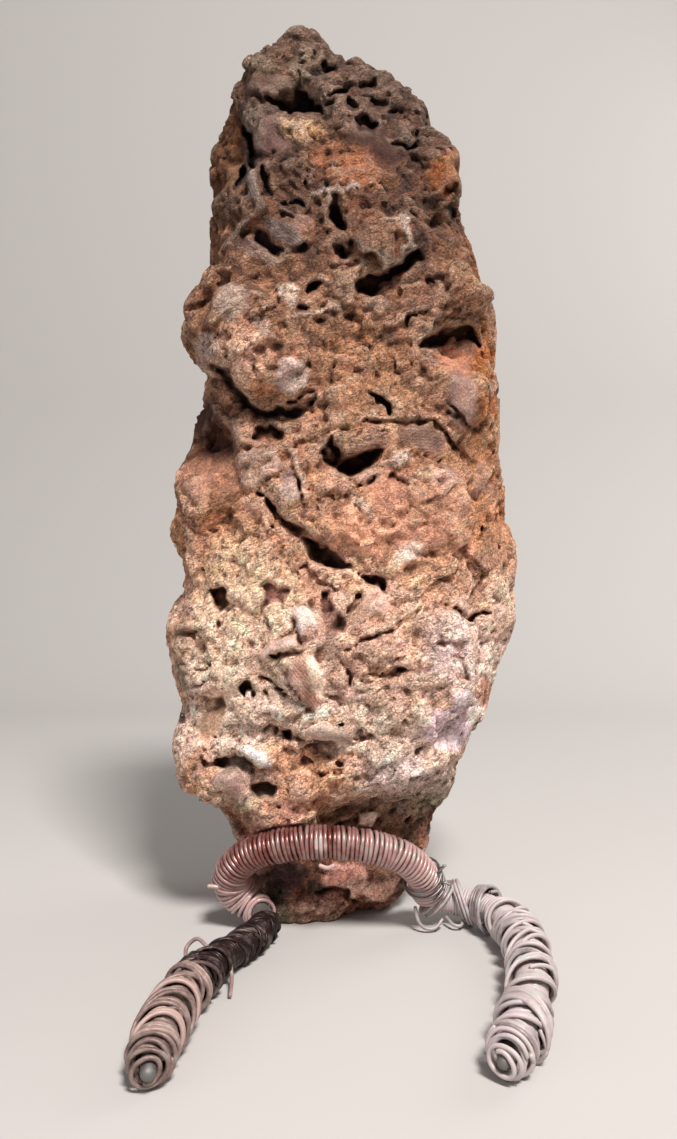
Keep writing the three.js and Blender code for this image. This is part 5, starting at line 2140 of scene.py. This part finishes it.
@dataclass
class Studio:
    """A pale paper sweep, soft lights and the camera."""

    floor_half: float = 900.0
    sweep_start: float = 420.0
    sweep_radius: float = 300.0
    wall_top: float = 1500.0
    eye: Place = (0.0, EYE_Y * MM, EYE_Z * MM)
    lens: float = 30.0

    def build(self) -> None:
        """Sets up the stage, the lights, the world and the camera."""
        self._sweep()
        self._light("key", (0.3, -0.78, 1.15), (0.0, 0.0, 0.13), 0.3, 26.8, "fffaf8")
        self._light("fill", (-0.75, -0.6, 0.3), (0.0, 0.0, 0.12), 0.7, 1.8, "f0f3ff")
        self._light("rim", (0.7, 0.5, 0.5), (0.0, 0.0, 0.14), 0.5, 2.5, "ffffff")
        world = bpy.data.worlds.new("studio")
        bpy.context.scene.world = world
        world.use_nodes = True
        sky = world.node_tree.nodes["Background"]
        sky.inputs["Color"].default_value = rgba("e6e4e2")
        sky.inputs["Strength"].default_value = 0.26
        bpy.context.scene.view_settings.view_transform = "Standard"
        self._camera()

    def _sweep(self) -> None:
        """Paper that lies on the ground and curves up behind the object."""
        bend = np.linspace(0, math.pi / 2, 24)
        ys = np.concatenate([[-self.floor_half], self.sweep_start + self.sweep_radius * np.sin(bend), [0]])
        zs = np.concatenate([[0], self.sweep_radius * (1 - np.cos(bend)), [self.wall_top]])
        ys[-1] = ys[-2]
        half = 1.6 * self.floor_half
        points = np.array([(side * half, y, z) for y, z in zip(ys, zs) for side in (-1, 1)])
        first = np.arange(len(ys) - 1)[:, None] * 2
        triangles = np.concatenate([first + (0, 1, 3), first + (0, 3, 2)])
        paper = mesh_object("paper_sweep", points, triangles)
        SweepPaper().put_on(paper)

    def _light(self, name: str, at: Place, aim: Place, size: float, power: float, tone: str) -> None:
        """Adds a square area light that faces a point.

        Args:
            name: The light's name.
            at: Where it is, in metres.
            aim: What it faces, in metres.
            size: The length of its side, in metres.
            power: Its power in watts.
            tone: Its colour, as six hex digits.
        """
        lamp = bpy.data.lights.new(name, "AREA")
        lamp.size = size
        lamp.energy = power
        lamp.color = tuple(float(c) for c in linear(tone))
        made = bpy.data.objects.new(name, lamp)
        made.location = at
        made.rotation_euler = (Vector(aim) - Vector(at)).to_track_quat("-Z", "Y").to_euler()
        bpy.context.scene.collection.objects.link(made)

    def _camera(self) -> None:
        """A level camera straight in front, close to the object."""
        lens = bpy.data.cameras.new("camera")
        lens.lens = self.lens
        lens.sensor_fit = "VERTICAL"
        lens.sensor_height = 36.0
        lens.clip_start = 0.01
        camera = bpy.data.objects.new("camera", lens)
        camera.location = self.eye
        camera.rotation_euler = (math.radians(90), 0, 0)
        bpy.context.scene.collection.objects.link(camera)
        bpy.context.scene.camera = camera


# ---------------------------------------------------------------- the model


def mount(piece: Object, node: str, finish: Finish) -> None:
    """Lets a piece stand for a solid of the frame.

    Args:
        piece: The dressed piece.
        node: The solid that it stands for.
        finish: What it is made of.
    """
    finish.put_on(piece)
    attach(piece, BODY)
    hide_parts(node)
    LOG.info("%s stands for %s", piece.name, node)


def left_paleness(share: Array) -> Array:
    """The left leg is pale at its front and dark towards the stone, where the dark is painted shade."""
    return 0.4 - 0.88 * smooth(0.12, 0.18, share)


def right_paleness(share: Array) -> Array:
    """The right leg is pale all along, and a little browner near the stone."""
    return 0.95 + 0.15 * (1 - smooth(0.66, 0.75, share))


def left_leg(route: RodRoute) -> LegWinding:
    """The left leg, with a loop and a tail of wire that stand off it.

    Args:
        route: The rod's route.

    Returns:
        The leg, not yet wound.
    """
    collars = (
        Collar(0.03, 0.3, 80, 4, 0.1, pale=0.6), Collar(0.052, -0.3, 130, 5, 0.4, pale=0.5),
        Collar(0.085, 0.5, -60, 4, pale=0.75), Collar(0.128, 0.45, 140, 3, 0.4, pale=0.6),
    )
    loose_ends = (
        ((-31, -62, 8), (-29.5, -65, 6.5), (-28.3, -68.5, 3.3), (-28, -75, 0.9)),
        ((-35, -66, 10), (-38.5, -63, 11), (-41, -64, 9), (-40, -68, 6.5), (-38, -70, 6)),
    )
    return LegWinding(
        route, "left_leg_wire", (0.005, 0.298), (0.022, 0.285), left_paleness, True,
        collars, loose_ends, seed=41,
    )


def right_leg(route: RodRoute) -> LegWinding:
    """The right leg, whose plain layer shows near the stone between a few brown loops.

    Args:
        route: The rod's route.

    Returns:
        The leg, not yet wound.
    """
    collars = (
        Collar(0.642, 0.5, 60, 3, 0.3, pale=0.6), Collar(0.668, -0.55, 30, 3, 0.2, pale=0.7),
        Collar(0.7, 0.4, 200, 5, 0.5, pale=0.45), Collar(0.77, 0.5, 80, 4, pale=0.75),
        Collar(0.86, -0.4, 120, 4, 0.3, pale=0.6), Collar(0.95, -0.5, 150, 6, 0.9, 0.1, pale=0.8),
        Collar(0.972, 0.35, 40, 4, 0.2, pale=0.7),
    )
    loose_ends = (
        ((23.5, -29, 7.5), (24.5, -30, 3.4), (26.5, -30.5, 1.6), (29.5, -30, 1.5), (32, -28, 3.4)),
        ((33.5, -25, 3.0), (35.5, -28.5, 1.8), (37.5, -28.5, 1.6), (38.5, -26.5, 2.5)),
    )
    return LegWinding(
        route, "right_leg_wire", (0.624, 0.995), (0.715, 0.975), right_paleness, False,
        collars, loose_ends, seed=42,
    )


def main() -> None:
    """Builds and dresses the stone, the stand and the studio."""
    logging.basicConfig(level=logging.INFO, format="%(message)s")
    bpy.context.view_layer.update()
    route = RodRoute()
    LOG.info("rod: %.0f mm long", route.length)
    mount(PetrifiedWood().build(route), "petrified_wood", SilicifiedWood())
    mount(ArchWinding(route).build(), "arch_winding", CopperWire())
    mount(left_leg(route).build(), "left_leg_winding", TAN_AND_SHADED_WIRE)
    mount(right_leg(route).build(), "right_leg_winding", CHALKY_WIRE)
    mount(TieWire(route).build(), "tie_wire", GALVANISED_STEEL)
    mount(RodCore(route).build(), "stand_rod", DULLED_ALUMINIUM)
    Studio().build()


if __name__ == "__main__":
    main()
